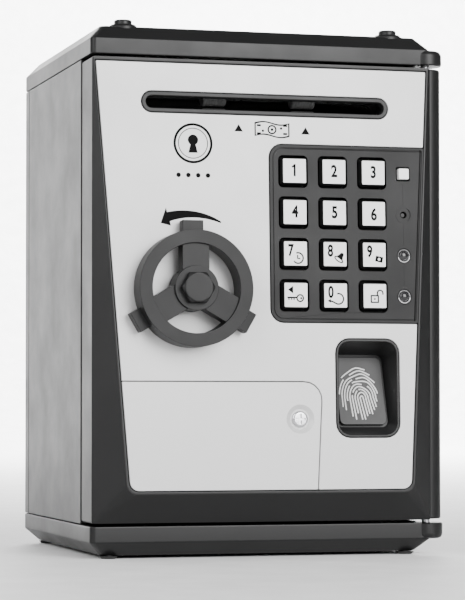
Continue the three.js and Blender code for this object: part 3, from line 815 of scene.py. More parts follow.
# ---------------------------------------------------------------- silver front plate
# A flat plate sprayed satin silver sits in the door's recess. It is cut away round the keypad, the
# battery cover, the note slot, the finger rest and the wheel's shaft.
silver_paint = finish(
    "silver_paint", (0.56, 0.56, 0.56), 0.36, grain=0.12, relief=0.0015, metallic=0.1, mottle=0.01,
)
cover_corner = (20.2, 62.5)
cover_foot = 18.1
body = bmesh.new()
add_plate(body, [
    face_outline([
        (cover_foot + seam, plate_foot, 0.3), (right_edge(plate_foot), plate_foot, 3.3),
        (right_edge(83.6), 83.6, 0.4), (1.1, 83.6, 5), (1.1, 147.9, 5), (right_edge(147.9), 147.9, 0.4),
        (right_edge(plate_head), plate_head, 0.4), (left_edge(plate_head), plate_head, 0.4),
        (left_edge(cover_corner[1] + seam), cover_corner[1] + seam, 0.3),
        (cover_corner[0] + seam, cover_corner[1] + seam, 6.8),
    ]),
    slot_outline(seam), finger_outline(seam), circle(*hub, 3.6),
], 0, 1.5, edge=0.25)
front_plate = make("silver_plate", body, console, silver_paint)
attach(front_plate, "door")
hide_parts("front_plate")


# ---------------------------------------------------------------- printed signs on the plate
# Black pad-printed signs: two pointers and a banknote under the slot, a ring with a keyhole and a row of
# dots at the upper left, and a curved arrow over the wheel that shows which way it turns.
def ribbon(line, width):
    """The outline of a flat ribbon that follows a line of points."""
    sides = []
    for i, point in enumerate(line):
        ahead = line[min(i + 1, len(line) - 1)]
        behind = line[max(i - 1, 0)]
        along = (Vector(ahead) - Vector(behind)).normalized()
        half = (width(i / (len(line) - 1)) if callable(width) else width) / 2
        sides.append((Vector(point), Vector((along.y, -along.x)) * half))
    return [p + s for p, s in sides] + [p - s for p, s in reversed(sides)]


def arc(x, z, radius, first, last, steps=16):
    """Points on an arc, in degrees anticlockwise from the right."""
    turns = [math.radians(first + (last - first) * step / steps) for step in range(steps + 1)]
    return [(x + radius * math.cos(a), z + radius * math.sin(a)) for a in turns]


def pointer(x, z, width, height):
    corners = [(x - width / 2, z - height / 2), (x + width / 2, z - height / 2), (x, z + height / 2)]
    return [Vector(corner) for corner in corners]


ink = 0.04
ink_sunk = 0.01
black_ink = finish("black_ink", (0.003, 0.003, 0.003), 0.6, grain=0.2, relief=0.002, shine=0.05)
signs = bmesh.new()


def add_sign(*outlines):
    """One printed shape: the first outline is its outside, the others are holes."""
    add_plate(signs, outlines, -ink, ink_sunk, edge=0)


for x, z in ((-10, 153.2), (15, 152.8)):
    add_sign(pointer(x, up(z), 3.2, 2.6))
note_left = -4.1
note_right = 9.0
note_middle = up(152.9)
note_half = 2.5


def note_edge(inset):
    """A banknote's outline with a gentle wave along its long sides."""
    shares = [step / 20 for step in range(21)]
    width = note_right - note_left - 2 * inset
    wave = [0.55 * math.sin(2 * math.pi * s) for s in shares]
    half = note_half - inset
    foot = [(note_left + inset + s * width, note_middle - half + w) for s, w in zip(shares, wave)]
    head = [(note_left + inset + s * width, note_middle + half + w) for s, w in zip(shares, wave)]
    return [Vector(p) for p in foot + head[::-1]]


note_x = (note_left + note_right) / 2
add_sign(note_edge(0), note_edge(0.5))
add_sign(*[circle(note_x, note_middle, radius, 24) for radius in (1.7, 1.15)])
add_sign(circle(note_x, note_middle, 0.5, 16))
for side in (-1, 1):
    add_sign(circle(note_x + side * 3.4, note_middle + side * 0.5, 0.45, 16))
    for level_of_corner in (-1, 1):
        spot = (note_x + side * 4.9, note_middle + level_of_corner * 1.45)
        add_sign(box_outline(0.75, 0.35, 0.1, spot))
badge = (-26.9, up(147.2))
for outer, inner in ((7.2, 6.3), (5.5, 5.2)):
    add_sign(circle(*badge, outer, 64), circle(*badge, inner, 64))
keyhole = [Vector(p) for p in arc(badge[0], badge[1] + 1.2, 1.9, -60, 240, 24)]
keyhole += [Vector((badge[0] - 1.7, badge[1] - 3.4)), Vector((badge[0] + 1.7, badge[1] - 3.4))]
add_sign(keyhole)
for number in range(4):
    add_sign(circle(badge[0] - 5.4 + number * 3.6, up(135.8), 0.85, 20))
arrow_radius = 27.0
arrow_head = 106
shaft_line = arc(*hub, arrow_radius, 64, arrow_head, 24)
add_sign(ribbon(shaft_line, lambda share: 0.5 + 2.9 * share ** 0.8))
tip = arc(*hub, arrow_radius - 1.2, arrow_head, 113.5, 1)[1]
barbs = [arc(*hub, arrow_radius + reach, arrow_head, 107, 1)[0] for reach in (3.3, -3.3)]
add_sign([Vector(p) for p in (barbs[0], tip, barbs[1])])
printed_signs = make("printed_signs", signs, console, black_ink)
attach(printed_signs, "door")
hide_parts("front_plate")

# ---------------------------------------------------------------- note slot
# A grey bezel with round ends lines the slot in the plate. Behind it two pairs of rubber tyres on steel
# shafts draw the note in: a small motor drives the lower shaft through a white pinion and gear.
grey_moulding = finish("grey_moulding", (0.012, 0.012, 0.0123), 0.48, grain=0.3, relief=0.006, shine=0.35)
body = bmesh.new()
slot_mouth = box_outline(44.4, 2.2, 2.15, slot_middle)
add_plate(body, [slot_outline(0), slot_mouth], -0.1, 4.2, edge=0.3)
slot_bezel = make("slot_bezel", body, console, grey_moulding)
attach(slot_bezel, "door")
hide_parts("note_slot_bezel")


def refined(node, name, material, ease):
    """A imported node's own shape, with its doubles merged, its flat faces joined and its edges eased."""
    crease = 35
    body = bmesh.new()
    body.from_mesh(frame["nodes"][node].data)
    bmesh.ops.remove_doubles(body, verts=body.verts, dist=0.001 * mm)
    bmesh.ops.dissolve_limit(body, angle_limit=math.radians(0.5), verts=body.verts, edges=body.edges)
    sharp = [e for e in body.edges if e.is_manifold and e.calc_face_angle(0) > math.radians(crease + 5)]
    bmesh.ops.bevel(body, geom=sharp, offset=ease * mm, segments=2, affect="EDGES", clamp_overlap=True)
    bmesh.ops.triangulate(body, faces=[f for f in body.faces if len(f.verts) > 4])
    return make(name, body, Matrix.Identity(4), material, crease)


feed_y = 9.8
drive_z = slot_middle[1] - 5.2
pinch_z = slot_middle[1] + 4.0
tyre_rubber = finish("tyre_rubber", (0.09, 0.09, 0.09), 0.7, grain=0.25, relief=0.02)
inner_moulding = finish("inner_moulding", (0.02, 0.02, 0.021), 0.55, grain=0.4, relief=0.008)
tyre_half = 4.3
tyre_groove = 0.12
tyre_turns = [2 * math.pi * step / 40 for step in range(40)]
tyre_kinds = (("feed", 4.8, 1.2, drive_z), ("pinch", 3.6, 1.0, pinch_z))
for side, x in (("left", -16.7), ("right", 16.7)):
    for kind, radius, bore, z in tyre_kinds:
        body = bmesh.new()
        profile = [(bore + 0.05, x - tyre_half), (radius - 0.4, x - tyre_half)]
        for ridge in range(8):
            start = x - 4.1 + ridge * 1.05
            profile += [(radius - tyre_groove, start), (radius, start + 0.2)]
            profile += [(radius, start + 0.65), (radius - tyre_groove, start + 0.85)]
        profile += [(radius - 0.4, x + tyre_half), (bore + 0.05, x + tyre_half)]
        loops = []
        for r, place in profile:
            loops.append([
                (place, feed_y + r * math.cos(turn), z + r * math.sin(turn))
                for turn in tyre_turns
            ])
        add_loft(body, loops, closed=True)
        tyre = make(f"{kind}_tyre_{side}", body, console, tyre_rubber)
        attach(tyre, kind)
        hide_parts(f"{kind}_roller_{side}")
gear_white = finish("gear_white", (0.78, 0.75, 0.66), 0.45, grain=0.3, relief=0.004)
for node, ending, material, ease, rider, slot_name in (
    ("feed_shaft", "rod", steel_finish, 0.15, "feed", "steel"),
    ("pinch_shaft", "rod", steel_finish, 0.15, "pinch", "steel"),
    ("feed_gear", "teeth", gear_white, 0.08, "feed", "gear_plastic"),
    ("motor_pinion", "teeth", gear_white, 0.08, "pinion", "gear_plastic"),
    ("feed_bracket_left", "plate", inner_moulding, 0.2, "door", "inner_plastic"),
    ("feed_bracket_right", "plate", inner_moulding, 0.2, "door", "inner_plastic"),
    ("feed_motor", "can", steel_finish, 0.5, "door", "steel"),
):
    piece = refined(node, f"{node}_{ending}", material, ease)
    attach(piece, rider)
    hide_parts(node)

# ---------------------------------------------------------------- keypad
# Twelve keys stand in square wells over a rubber mat with domes and a green circuit board. Each is a
# black square moulding, wider at its foot, with a flange that holds it behind the plate and a silver
# face that carries a black print.
key_silver = finish("key_silver", (0.80, 0.80, 0.80), 0.34, grain=0.12, relief=0.0015, mottle=0.01)
key_black = finish("key_black", (0.007, 0.007, 0.007), 0.5, grain=0.3, relief=0.004, shine=0.15)


def add_digit(body, text, place, height, depth, width=0.78):
    """A printed digit about a place on the face, from the built-in typeface, narrowed and thickened."""
    thicker = 0.2
    height_share = 0.73
    letter = bpy.data.curves.new("digit", "FONT")
    letter.body = "9" if text == "6" else text
    letter.size = (height - 2 * thicker) / height_share
    letter.align_x = "CENTER"
    letter.align_y = "CENTER"
    letter.offset = thicker
    letter.extrude = ink / 2
    holder = bpy.data.objects.new("digit", letter)
    scene.collection.objects.link(holder)
    mesh = worked_mesh(holder)
    bpy.data.objects.remove(holder)
    way = -1 if text == "6" else 1
    turned = Matrix(((way * width, 0, 0, place[0]), (0, 0, -1, depth), (0, way, 0, place[1]), (0, 0, 0, 1)))
    mesh.transform(turned)
    body.from_mesh(mesh)
    bpy.data.meshes.remove(mesh)


def add_mark(body, key, place, depth):
    """The small sign on a key, drawn about a place on the face."""
    x, z = place
    near, far = depth - ink / 2, depth + ink / 2
    shapes = []
    if key == "1":
        shapes.append([ribbon([(x - 1.0, z + 1.3), (x, z + 2.0)], 0.6)])
    if key == "7":
        shapes.append([ribbon(arc(x + 0.9, z - 1.6, 1.9, 110, -145, 20), 0.52)])
        shapes.append([ribbon([(x + 0.75, z - 0.5), (x + 0.75, z - 1.75), (x + 1.7, z - 1.75)], 0.52)])
    if key == "8":
        mouth = Vector((x + 1.3, z - 1.9))
        across = Vector((0.82, -0.57))
        rise = Vector((0.57, 0.82))
        half_crown = [(1.3, 0.75), (0.85, 1.5), (0.65, 2.5), (0.2, 2.8)]
        crown = half_crown + [(-a, b) for a, b in reversed(half_crown)]
        shapes.append([[mouth + across * a + rise * b for a, b in crown]])
        shapes.append([
            [mouth + across * p.x * long + rise * p.y * short for p in circle(0, 0, 1, 24)]
            for long, short in ((1.95, 0.85), (1.45, 0.42))
        ])
    if key == "9":
        note = [(x + 0.2, z - 2.3), (x + 2.9, z - 2.9), (x + 3.3, z - 0.9), (x + 0.6, z - 0.3)]
        shapes.append([[Vector(p) for p in note], circle(x + 1.75, z - 1.6, 0.5, 12)])
    if key == "0":
        tail = arc(x + 1.0, z - 1.2, 1.9, 105, -125, 20) + [(x - 1.0, z - 2.3), (x - 2.0, z - 1.95)]
        shapes.append([ribbon(tail, 0.52)])
        head = [(x - 3.1, z - 1.95), (x - 1.9, z - 2.65), (x - 1.9, z - 1.25)]
        shapes.append([[Vector(p) for p in head]])
    if key == "back":
        shapes.append([[Vector((x - 3.0, z + 1.9)), Vector((x - 1.1, z + 0.5)), Vector((x - 1.1, z + 3.3))]])
        shapes.append([circle(x + 1.5, z - 1.1, 1.45, 20), circle(x + 1.5, z - 1.1, 0.95, 16)])
        shapes.append([circle(x + 1.9, z - 1.1, 0.4, 10)])
        shapes.append([ribbon([(x - 3.3, z - 0.9), (x + 0.25, z - 0.9)], 0.55)])
        for tooth in (-2.7, -1.7, -0.8):
            shapes.append([ribbon([(x + tooth, z - 1.1), (x + tooth, z - 1.75)], 0.45)])
    if key == "unlock":
        lock = (x - 0.1, z - 1.1)
        shapes.append([box_outline(1.6, 1.45, 0.2, lock), box_outline(1.1, 0.95, 0.1, lock)])
        shapes.append([circle(*lock, 0.35, 10)])
        shackle = [(x + 0.9, z + 0.2)] + arc(x + 1.95, z + 1.0, 1.05, 180, 0, 12) + [(x + 3.0, z + 0.5)]
        shapes.append([ribbon(shackle, 0.52)])
    for shape in shapes:
        add_plate(body, shape, near, far, edge=0)


key_front = -2.1
for key, place in key_places.items():
    body = bmesh.new()
    add_loft(body, [
        [(p.x, depth, p.y) for p in box_outline(half, half, radius, place)]
        for half, depth, radius in (
            (6.0, 5.1, 0.5), (6.1, 5.0, 0.5), (6.1, 4.4, 0.5), (6.0, 4.3, 0.5),
            (4.9, 4.3, 0.9), (4.9, 0.6, 0.9), (4.8, 0.2, 0.8),
            (4.42, -1.6, 0.5), (4.34, -1.82, 0.4), (4.2, key_front + 0.2, 0.3),
        )
    ])
    cap = make("key_cap_" + key, body, console, key_black)
    body = bmesh.new()
    add_plate(body, [box_outline(4.25, 4.3, 0.35, place)], key_front, key_front + 0.3, edge=0.08)
    face = make("key_face_" + key, body, console, key_silver)
    body = bmesh.new()
    x, z = place
    if key in "123456":
        add_digit(body, key, place, 4.7, key_front)
    elif key in "7890":
        add_digit(body, key, (x - 1.8, z + 1.0), 4.6, key_front, width=0.7)
    if key not in "23456":
        add_mark(body, key, place, key_front)
    print_on_key = make("key_print_" + key, body, console, black_ink)
    for piece in (cap, face, print_on_key):
        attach(piece, "button_" + key)
        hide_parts("key_" + key)
mat_rubber = finish("mat_rubber", (0.10, 0.10, 0.10), 0.7, grain=0.4, relief=0.01)
key_mat = refined("key_mat", "key_mat_sheet", mat_rubber, ease=0.1)
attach(key_mat, "door")
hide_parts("key_mat")
board_green = finish("board_green", (0.02, 0.11, 0.045), 0.4, grain=1.6, relief=0.012, mottle=0.25)
board = refined("circuit_board", "circuit_board_sheet", board_green, ease=0.1)
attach(board, "door")
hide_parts("circuit_board")

# small parts soldered to the back of the board, spread with a fixed seed
chip_black = finish("chip_black", (0.015, 0.015, 0.016), 0.4, grain=0.2, relief=0.002)
chip_body = bmesh.new()
add_bar(chip_body, (-1.6, -1.0, 0), (1.6, 1.0, 0.9), edge=0.12)
chip = make("chip", chip_body, Matrix.Scale(mm, 4), chip_black)
chip_depth = 9.75
chance = random.Random(11)
spots = []
for column in range(7):
    for row in range(8):
        x = 7 + column * 7.2 + chance.uniform(-1.2, 1.2)
        z = up(92) + row * 6.6 + chance.uniform(-1.0, 1.0)
        if chance.random() < 0.62:
            spots.append(console @ Vector((x, chip_depth, z)))
board_chips = grown(
    "board_chips", points(spots), copies, chip_black,
    Piece=chip, Turn=(math.radians(-90) - lean, 0, 0), Random_Turn=0.2, Seed=5,
)
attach(board_chips, "door")

# ---------------------------------------------------------------- lamps and reset pin
# Right of the keys stand a square milky lamp, a reset pin in a small hole, and two round smoked lamps
# in chromed rings. All of them are pushed in from behind and clipped to the board.
milky = finish("milky_lens", (0.86, 0.86, 0.85), 0.25, grain=0.5, relief=0.002, mottle=0.01)
body = bmesh.new()
add_loft(body, [
    [(p.x, depth, p.y) for p in box_outline(half, half, 0.45, (status_x, status_rows[0]))]
    for half, depth in ((1.95, 5.2), (1.95, -1.0), (1.88, -1.22), (1.75, -1.3))
])
square_lamp = make("square_lamp_lens", body, console, milky)
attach(square_lamp, "door")
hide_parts("power_lamp_lens")
smoked = finish("smoked_lens", (0.012, 0.012, 0.013), 0.12, grain=1, relief=0.001, patchy=0.03)
chrome = finish("chrome_ring", (0.85, 0.85, 0.86), 0.12, grain=0.3, relief=0.001, metallic=1, patchy=0.04)
for name, row in (("upper", 2), ("lower", 3)):
    centre = (status_x, status_rows[row])
    body = bmesh.new()
    add_turned(body, [
        (0, 6.5), (1.8, 6.5), (1.8, 0.3), (1.6, -0.05), (1.2, -0.3), (0.6, -0.45), (0, -0.5),
    ], centre, axis="y", sides=36)
    lens = make(f"round_lamp_{name}", body, console, smoked)
    body = bmesh.new()
    loops = [
        [(p.x, depth, p.y) for p in circle(*centre, radius)]
        for radius, depth in (
            (1.85, 2.2), (1.85, 0.3), (1.95, 0), (2.15, -0.2), (2.4, -0.1), (2.5, 0.2), (2.5, 2.2),
        )
    ]
    add_loft(body, loops, closed=True)
    ring = make(f"round_lamp_ring_{name}", body, console, chrome)
    for piece in (lens, ring):
        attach(piece, "door")
        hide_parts("status_lamp_" + name)
body = bmesh.new()
add_turned(body, [
    (0, 5.4), (1.8, 5.4), (1.9, 5.3), (1.9, 4.7), (0.85, 4.6), (0.85, 1.0), (0.7, 0.82), (0, 0.8),
], pin_spot, axis="y", sides=28)
reset_pin = make("reset_pin", body, console, grey_moulding)
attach(reset_pin, "reset")
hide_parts("reset_button")

# ---------------------------------------------------------------- finger rest
# A dark grey moulding with a tapered pocket drops into the plate's lower right window. On its slanted
# floor lies a soft pad with a raised white pattern of ridges like those of a fingertip.
rest_grey = finish("rest_grey", (0.012, 0.012, 0.0123), 0.45, grain=0.3, relief=0.005, shine=0.35)
floor_x = (27, 46.6)
floor_z = (46.5, 73)


def floor_depth(z):
    """How deep the pad's face lies, z measured up the face."""
    share = (z - up(floor_z[0])) / (up(floor_z[1]) - up(floor_z[0]))
    return 3.0 + share * 7.5


def pocket_loop(x, z, radius, depth):
    corners = [(x[0], up(z[0])), (x[1], up(z[0])), (x[1], up(z[1])), (x[0], up(z[1]))]
    outline = rounded([(*corner, radius) for corner in corners])
    return [(p.x, depth(p.y) if callable(depth) else depth, p.y) for p in outline]


def window_loop(grow, depth):
    return [(p.x, depth, p.y) for p in finger_outline(grow)]


mouth_x = (26.4, 48.4)
mouth_z = (43.7, 77.1)
pad_thick = 1.4
body = bmesh.new()
add_loft(body, [
    window_loop(0, 13.6),
    window_loop(0, 0.3),
    window_loop(-0.08, 0.1),
    window_loop(-0.3, 0),
    pocket_loop(tight(mouth_x, -0.25), tight(mouth_z, -0.25), 4.1, 0),
    pocket_loop(tight(mouth_x, -0.06), tight(mouth_z, -0.06), 4, 0.12),
    pocket_loop(tight(mouth_x, 0.05), tight(mouth_z, 0.05), 3.9, 0.4),
    pocket_loop(floor_x, floor_z, 2.4, lambda z: floor_depth(z) + pad_thick + 0.3),
])
finger_well = make("finger_pocket", body, console, rest_grey)
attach(finger_well, "door")
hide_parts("finger_well")
pad_black = finish("pad_black", (0.013, 0.013, 0.0133), 0.5, grain=0.3, relief=0.006)
pad_x = tight(floor_x, 0.9)
pad_z = tight(floor_z, 0.9)
body = bmesh.new()
add_loft(body, [
    pocket_loop(pad_x, pad_z, 1.9, lambda z: floor_depth(z) + pad_thick),
    pocket_loop(pad_x, pad_z, 1.9, lambda z: floor_depth(z) + 0.3),
    pocket_loop(tight(pad_x, 0.1), tight(pad_z, 0.1), 1.9, lambda z: floor_depth(z) + 0.1),
    pocket_loop(tight(pad_x, 0.35), tight(pad_z, 0.35), 1.8, floor_depth),
])
finger_pad = make("finger_pad_sheet", body, console, pad_black)
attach(finger_pad, "door")
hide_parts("finger_pad")
print_middle = (35.9, up(58.7))
print_half = (7.4, 9.8)


def ridge_lines():
    """Nested arches over a leaning loop, clipped to an oval and broken here and there."""
    pick = random.Random(4)
    lines = []
    for number in range(10):
        reach = 0.55 + number * 0.98
        line = []
        for step in range(-26, 27):
            share = step / 26
            if abs(share) < 0.5:
                turn = math.radians(90 - 180 * share)
                x, z = reach * math.cos(turn), reach * 1.15 * math.sin(turn)
            else:
                drop = (abs(share) - 0.5) * 2 * 15
                x = math.copysign(reach, share) + drop * (0.16 + 0.02 * number * math.copysign(1, share))
                z = -drop
            line.append((x + 1.0, z - 1.6 + 0.25 * math.sin(0.9 * x + number)))
        lines.append(line)
    kept = []
    for line in lines:
        run = []
        for x, z in line:
            inside = (x / print_half[0]) ** 2 + (z / print_half[1]) ** 2 < 1
            if inside and pick.random() > 0.035:
                run.append((x, z))
            else:
                kept.append(run)
                run = []
        kept.append(run)
    return [run for run in kept if len(run) > 2]


def strands_tree(name):
    """Geometry Nodes that turn lines of edges into round beads."""
    tree = bpy.data.node_groups.new(name, "GeometryNodeTree")
    tree.interface.new_socket("Geometry", in_out="INPUT", socket_type="NodeSocketGeometry")
    tree.interface.new_socket("Radius", in_out="INPUT", socket_type="NodeSocketFloat")
    tree.interface.new_socket("Sides", in_out="INPUT", socket_type="NodeSocketInt")
    tree.interface.new_socket("Finish", in_out="INPUT", socket_type="NodeSocketMaterial")
    tree.interface.new_socket("Geometry", in_out="OUTPUT", socket_type="NodeSocketGeometry")
    start = tree.nodes.new("NodeGroupInput")
    end = tree.nodes.new("NodeGroupOutput")
    path = tree.nodes.new("GeometryNodeMeshToCurve")
    section = tree.nodes.new("GeometryNodeCurvePrimitiveCircle")
    bead = tree.nodes.new("GeometryNodeCurveToMesh")
    bead.inputs["Fill Caps"].default_value = True
    soft = tree.nodes.new("GeometryNodeSetShadeSmooth")
    real = tree.nodes.new("GeometryNodeRealizeInstances")
    paint = tree.nodes.new("GeometryNodeSetMaterial")
    link = tree.links.new
    link(start.outputs["Geometry"], path.inputs["Mesh"])
    link(start.outputs["Radius"], section.inputs["Radius"])
    link(start.outputs["Sides"], section.inputs["Resolution"])
    link(path.outputs["Curve"], bead.inputs["Curve"])
    link(section.outputs["Curve"], bead.inputs["Profile Curve"])
    link(bead.outputs["Mesh"], soft.inputs["Geometry"])
    link(soft.outputs["Geometry"], real.inputs["Geometry"])
    link(real.outputs["Geometry"], paint.inputs["Geometry"])
    link(start.outputs["Finish"], paint.inputs["Material"])
    link(paint.outputs["Geometry"], end.inputs["Geometry"])
    return tree


def strand_guide(runs):
    """A mesh of edges along each run of points, in metres."""
    verts = []
    edges = []
    for run in runs:
        edges += [(len(verts) + i, len(verts) + i + 1) for i in range(len(run) - 1)]
        verts += run
    mesh = bpy.data.meshes.new("guide")
    mesh.from_pydata(verts, edges, [])
    return mesh


strands = strands_tree("beads_along_lines")
ridge_white = finish("ridge_white", (0.72, 0.72, 0.72), 0.5, grain=0.2, relief=0.004)
ridge_runs = []
for run in ridge_lines():
    spots = [(print_middle[0] + x, print_middle[1] + z) for x, z in run]
    ridge_runs.append([console @ Vector((x, floor_depth(z) - 0.02, z)) for x, z in spots])
finger_ridges = grown(
    "finger_ridges", strand_guide(ridge_runs), strands, ridge_white, Radius=0.27 * mm, Sides=8,
)
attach(finger_ridges, "door")
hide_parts("finger_pad")

# ---------------------------------------------------------------- handwheel
# The wheel is one thick grey moulding: a flat-faced rim with three lugs, three broad spokes and a hub
# that a hexagon nut holds. It turns on a shaft whose crank throws the latch bolt behind the plate.
rim_outer = 20.6
rim_inner = 15.9
wheel_front = -10.4
wheel_back = -1.2


def turned_ring(outer, inner, near, far):
    body = bmesh.new()
    corners = ((inner, far), (inner, near), (outer, near), (outer, far))
    loops = [[(p.x, depth, p.y) for p in circle(*hub, radius, 96)] for radius, depth in corners]
    add_loft(body, loops, closed=True)
    return body


def turned_disc(radius, near, far):
    body = bmesh.new()
    add_turned(body, [(0, near), (radius, near), (radius, far), (0, far)], hub, axis="y", sides=72)
    return body


def arm(turn, near, far, half, depths):
    """A straight bar out from the hub, turned about the wheel's axis from straight up."""
    body = bmesh.new()
    bmesh.ops.create_cube(body, size=1)
    for vert in body.verts:
        x, y, z = [c + 0.5 for c in vert.co]
        vert.co = (half * (2 * x - 1), depths[0] + y * (depths[1] - depths[0]), near + z * (far - near))
    body.transform(Matrix.Translation((hub[0], 0, hub[1])) @ Matrix.Rotation(math.radians(turn), 4, "Y"))
    return body


hub_radius = 7.9
wheel_parts = [
    turned_ring(rim_outer, rim_inner, wheel_front, wheel_back),
    turned_disc(hub_radius, wheel_front, wheel_back),
]
spoke_half = 4.9
spoke_depths = (-9.4, -3.4)
lug_half = 3.8
lug_reach = 24.3
lug_depths = (-5.8, wheel_back)
for turn in (0, 120, 240):
    wheel_parts.append(arm(turn, 5, 17, spoke_half, spoke_depths))
    wheel_parts.append(arm(turn, 19, lug_reach, lug_half, lug_depths))
wheel_grey = finish("wheel_grey", (0.010, 0.010, 0.0102), 0.46, grain=0.3, relief=0.006, shine=0.22)
handwheel = combined("wheel_moulding", wheel_parts, console, wheel_grey, "UNION", bevel=0.35)
body = bmesh.new()
nut_front = -13.6
nut_back = -10.7
nut_corner = 6.1
nut_profile = [
    (4.6, nut_front), (5.1, nut_front + 0.15), (5.9, nut_front + 0.7), (6.05, nut_front + 0.95),
    (nut_corner, nut_front + 1.2), (nut_corner, nut_back),
]
loops = []
for radius, depth in nut_profile:
    loop = []
    for step in range(48):
        turn = 2 * math.pi * step / 48
        flat_reach = nut_corner * math.cos(math.pi / 6) / math.cos((turn % (math.pi / 3)) - math.pi / 6)
        reach = min(radius, flat_reach)
        loop.append((hub[0] + reach * math.cos(turn), depth, hub[1] + reach * math.sin(turn)))
    loops.append(loop)
add_loft(body, loops)
hub_nut = make("hub_nut_hexagon", body, console, wheel_grey, crease=24)
for piece, node in ((handwheel, "handwheel"), (hub_nut, "hub_nut")):
    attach(piece, "wheel")
    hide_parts(node)
for node in ("wheel_shaft", "crank_disc"):
    piece = refined(node, node + "_moulding", inner_moulding, ease=0.2)
    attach(piece, "wheel")
    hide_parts(node)

# ---------------------------------------------------------------- latch and lock
# A flat steel bolt slides in the door and is thrown by the crank pin. Below the crank a solenoid with a
# brass plunger locks it: the plunger lifts into a notch of the crank disc.
brass_finish = finish("turned_brass", (0.60, 0.42, 0.16), 0.28, grain=0.2, relief=0.002, metallic=1)
for node, name, material, ease, rider, slot_name in (
    ("latch_bolt", "latch_bolt_bar", steel_finish, 0.25, "bolt", "steel"),
    ("lock_solenoid", "solenoid_frame", steel_finish, 0.25, "door", "steel"),
    ("lock_plunger", "plunger_rod", brass_finish, 0.2, "plunger", "brass"),
):
    piece = refined(node, name, material, ease)
    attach(piece, rider)
    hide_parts(node)

# ---------------------------------------------------------------- batteries and their springs
# Three penlight cells in plain sleeves lie across the bay behind the cover. Each is held between a
# wound steel spring at one end and a flat contact at the other.
sleeve = finish("cell_sleeve", (0.03, 0.037, 0.045), 0.3, grain=0.5, relief=0.002, mottle=0.1)
cell_radius = 7.1
bay_ends = (-48.6, 5.6)
coil_turns = 4
coil_steps = 96
coil_radii = (4.8, 3.2)
coil_runs = []
for number in range(3):
    node = f"battery_{number + 1}"
    low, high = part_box(node)
    spring_left = number % 2 == 1
    cell_low = (low.x - case_middle.x) / mm
    cell_high = (high.x - case_middle.x) / mm
    middle = leaning.inverted() @ (case.inverted() @ ((low + high) / 2))
    body = bmesh.new()
    flip = -1 if spring_left else 1
    start, tip_x = sorted((cell_low, cell_high), key=lambda x: x * flip)
    shoulder = tip_x - flip * 1.0
    add_turned(body, [
        (0, start), (6.2, start), (6.9, start + flip * 0.2), (cell_radius, start + flip * 0.5),
        (cell_radius, shoulder - flip * 0.6), (6.8, shoulder - flip * 0.15), (6.2, shoulder),
        (2.75, shoulder), (2.7, tip_x - flip * 0.25), (2.4, tip_x), (0, tip_x),
    ], (middle.y, middle.z), axis="x", sides=56)
    cell = make(f"cell_{number + 1}", body, console, sleeve)
    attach(cell, "door")
    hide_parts(node)
    gap_from = bay_ends[0] + 0.4 if not spring_left else bay_ends[1] - 0.4
    gap_to = start - flip * 0.35
    coil = []
    for step in range(coil_steps + 1):
        share = step / coil_steps
        turn = 2 * math.pi * coil_turns * share
        radius = coil_radii[0] + (coil_radii[1] - coil_radii[0]) * share
        x = gap_from + (gap_to - gap_from) * share
        y = middle.y + radius * math.cos(turn)
        z = middle.z + radius * math.sin(turn)
        coil.append(console @ Vector((x, y, z)))
    coil_runs.append(coil)
battery_springs = grown(
    "battery_springs", strand_guide(coil_runs), strands, steel_finish, Radius=0.3 * mm, Sides=8,
)
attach(battery_springs, "door")

# ---------------------------------------------------------------- battery cover and its screw
# The cover closes the battery bay flush with the silver plate and is sprayed the same silver. One cross
# screw sits in a dished recess near its right end.
cover_line = face_outline([
    (left_edge(plate_foot), plate_foot, 3.3), (cover_foot, plate_foot, 0.3),
    (*cover_corner, 6.5), (left_edge(cover_corner[1]), cover_corner[1], 0.3),
])
plate_body = bmesh.new()
add_plate(plate_body, [cover_line], 0, 1.5, edge=0.25)
dish = bmesh.new()
add_turned(dish, [
    (0, -0.2), (5.3, -0.2), (5.2, 0), (3.7, 0.95), (3.5, 1), (0, 1),
], cover_screw, axis="y", sides=56)
bore = bmesh.new()
add_turned(bore, [(0, 0.5), (1.8, 0.5), (1.8, 2), (0, 2)], cover_screw, axis="y", sides=32)
battery_cover = combined("battery_cover_plate", [plate_body, dish, bore], console, silver_paint, "DIFFERENCE")
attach(battery_cover, "cover")
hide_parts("battery_cover")
head = bmesh.new()
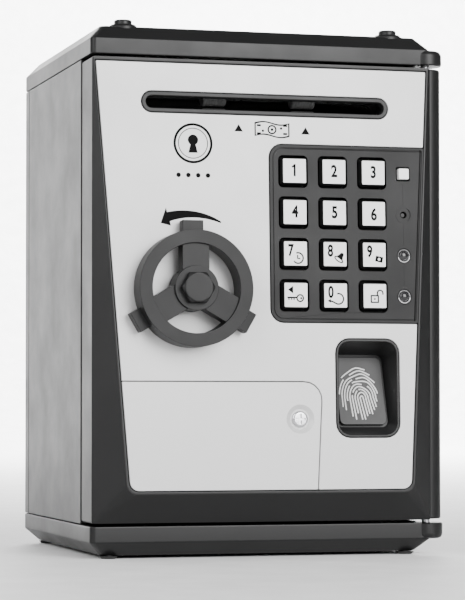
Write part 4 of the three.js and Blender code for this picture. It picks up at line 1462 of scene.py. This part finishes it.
add_turned(head, [
    (0, 8.5), (1.2, 8.5), (1.4, 8.2), (1.4, 0.8), (2.75, 0.8), (2.9, 0.65), (2.8, 0.3), (2.5, 0.05),
    (2.0, -0.06), (0, -0.1),
], cover_screw, axis="y", sides=48)
bars = []
for half_x, half_z in ((1.9, 0.42), (0.42, 1.9)):
    bar = bmesh.new()
    add_bar(
        bar, (cover_screw[0] - half_x, -1, cover_screw[1] - half_z),
        (cover_screw[0] + half_x, 0.55, cover_screw[1] + half_z), edge=0.08,
    )
    bars.append(bar)
cover_screw_head = combined(
    "cover_screw_head", [head, *bars], console, steel_finish, "DIFFERENCE", bevel=0.05,
)
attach(cover_screw_head, "screw")
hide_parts("battery_screw")

# ---------------------------------------------------------------- speaker
# A small round speaker is glued behind the door's inner cover, its paper cone facing the case.
# The magnet cup behind the cone faces the front wall.
speaker_middle = (-30, up(124))
body = bmesh.new()
add_turned(body, [
    (0, 6), (6.2, 6), (6.5, 6.3), (6.5, 10.4), (11.6, 10.6), (12, 10.9), (12, 13.9), (11.8, 14.15),
    (11.2, 14.2), (10.8, 13.9), (10.2, 13.6), (9.4, 13.8), (8.8, 13.6), (4, 12.2), (3.6, 12.1),
    (2.4, 12.7), (0, 13.1),
], speaker_middle, axis="y", sides=64)
speaker = make("speaker_cone", body, console, inner_moulding)
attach(speaker, "door")
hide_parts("speaker")

# ---------------------------------------------------------------- inner cover of the door
# A thin black panel closes the back of the door. Its slot lets the note out into the case, small holes
# let the speaker's sound out, and four steel screws hold it.
inner_cover = refined("inner_cover", "inner_panel", inner_moulding, ease=0.2)
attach(inner_cover, "door")
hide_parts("inner_cover")
panel_screws = grown(
    "inner_panel_screws",
    points([case @ Vector((x, door_back - 0.6, z)) for x in (-52, 48) for z in (22, 150)]),
    copies, steel_finish, Piece=pan_screw, Turn=(math.radians(-90), 0, 0), Random_Turn=1.4, Seed=9,
)
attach(panel_screws, "door")

# ---------------------------------------------------------------- pattern pieces
# The pieces that were only copied from are taken out.
for pattern in (pan_screw, chip):
    bpy.data.objects.remove(pattern)
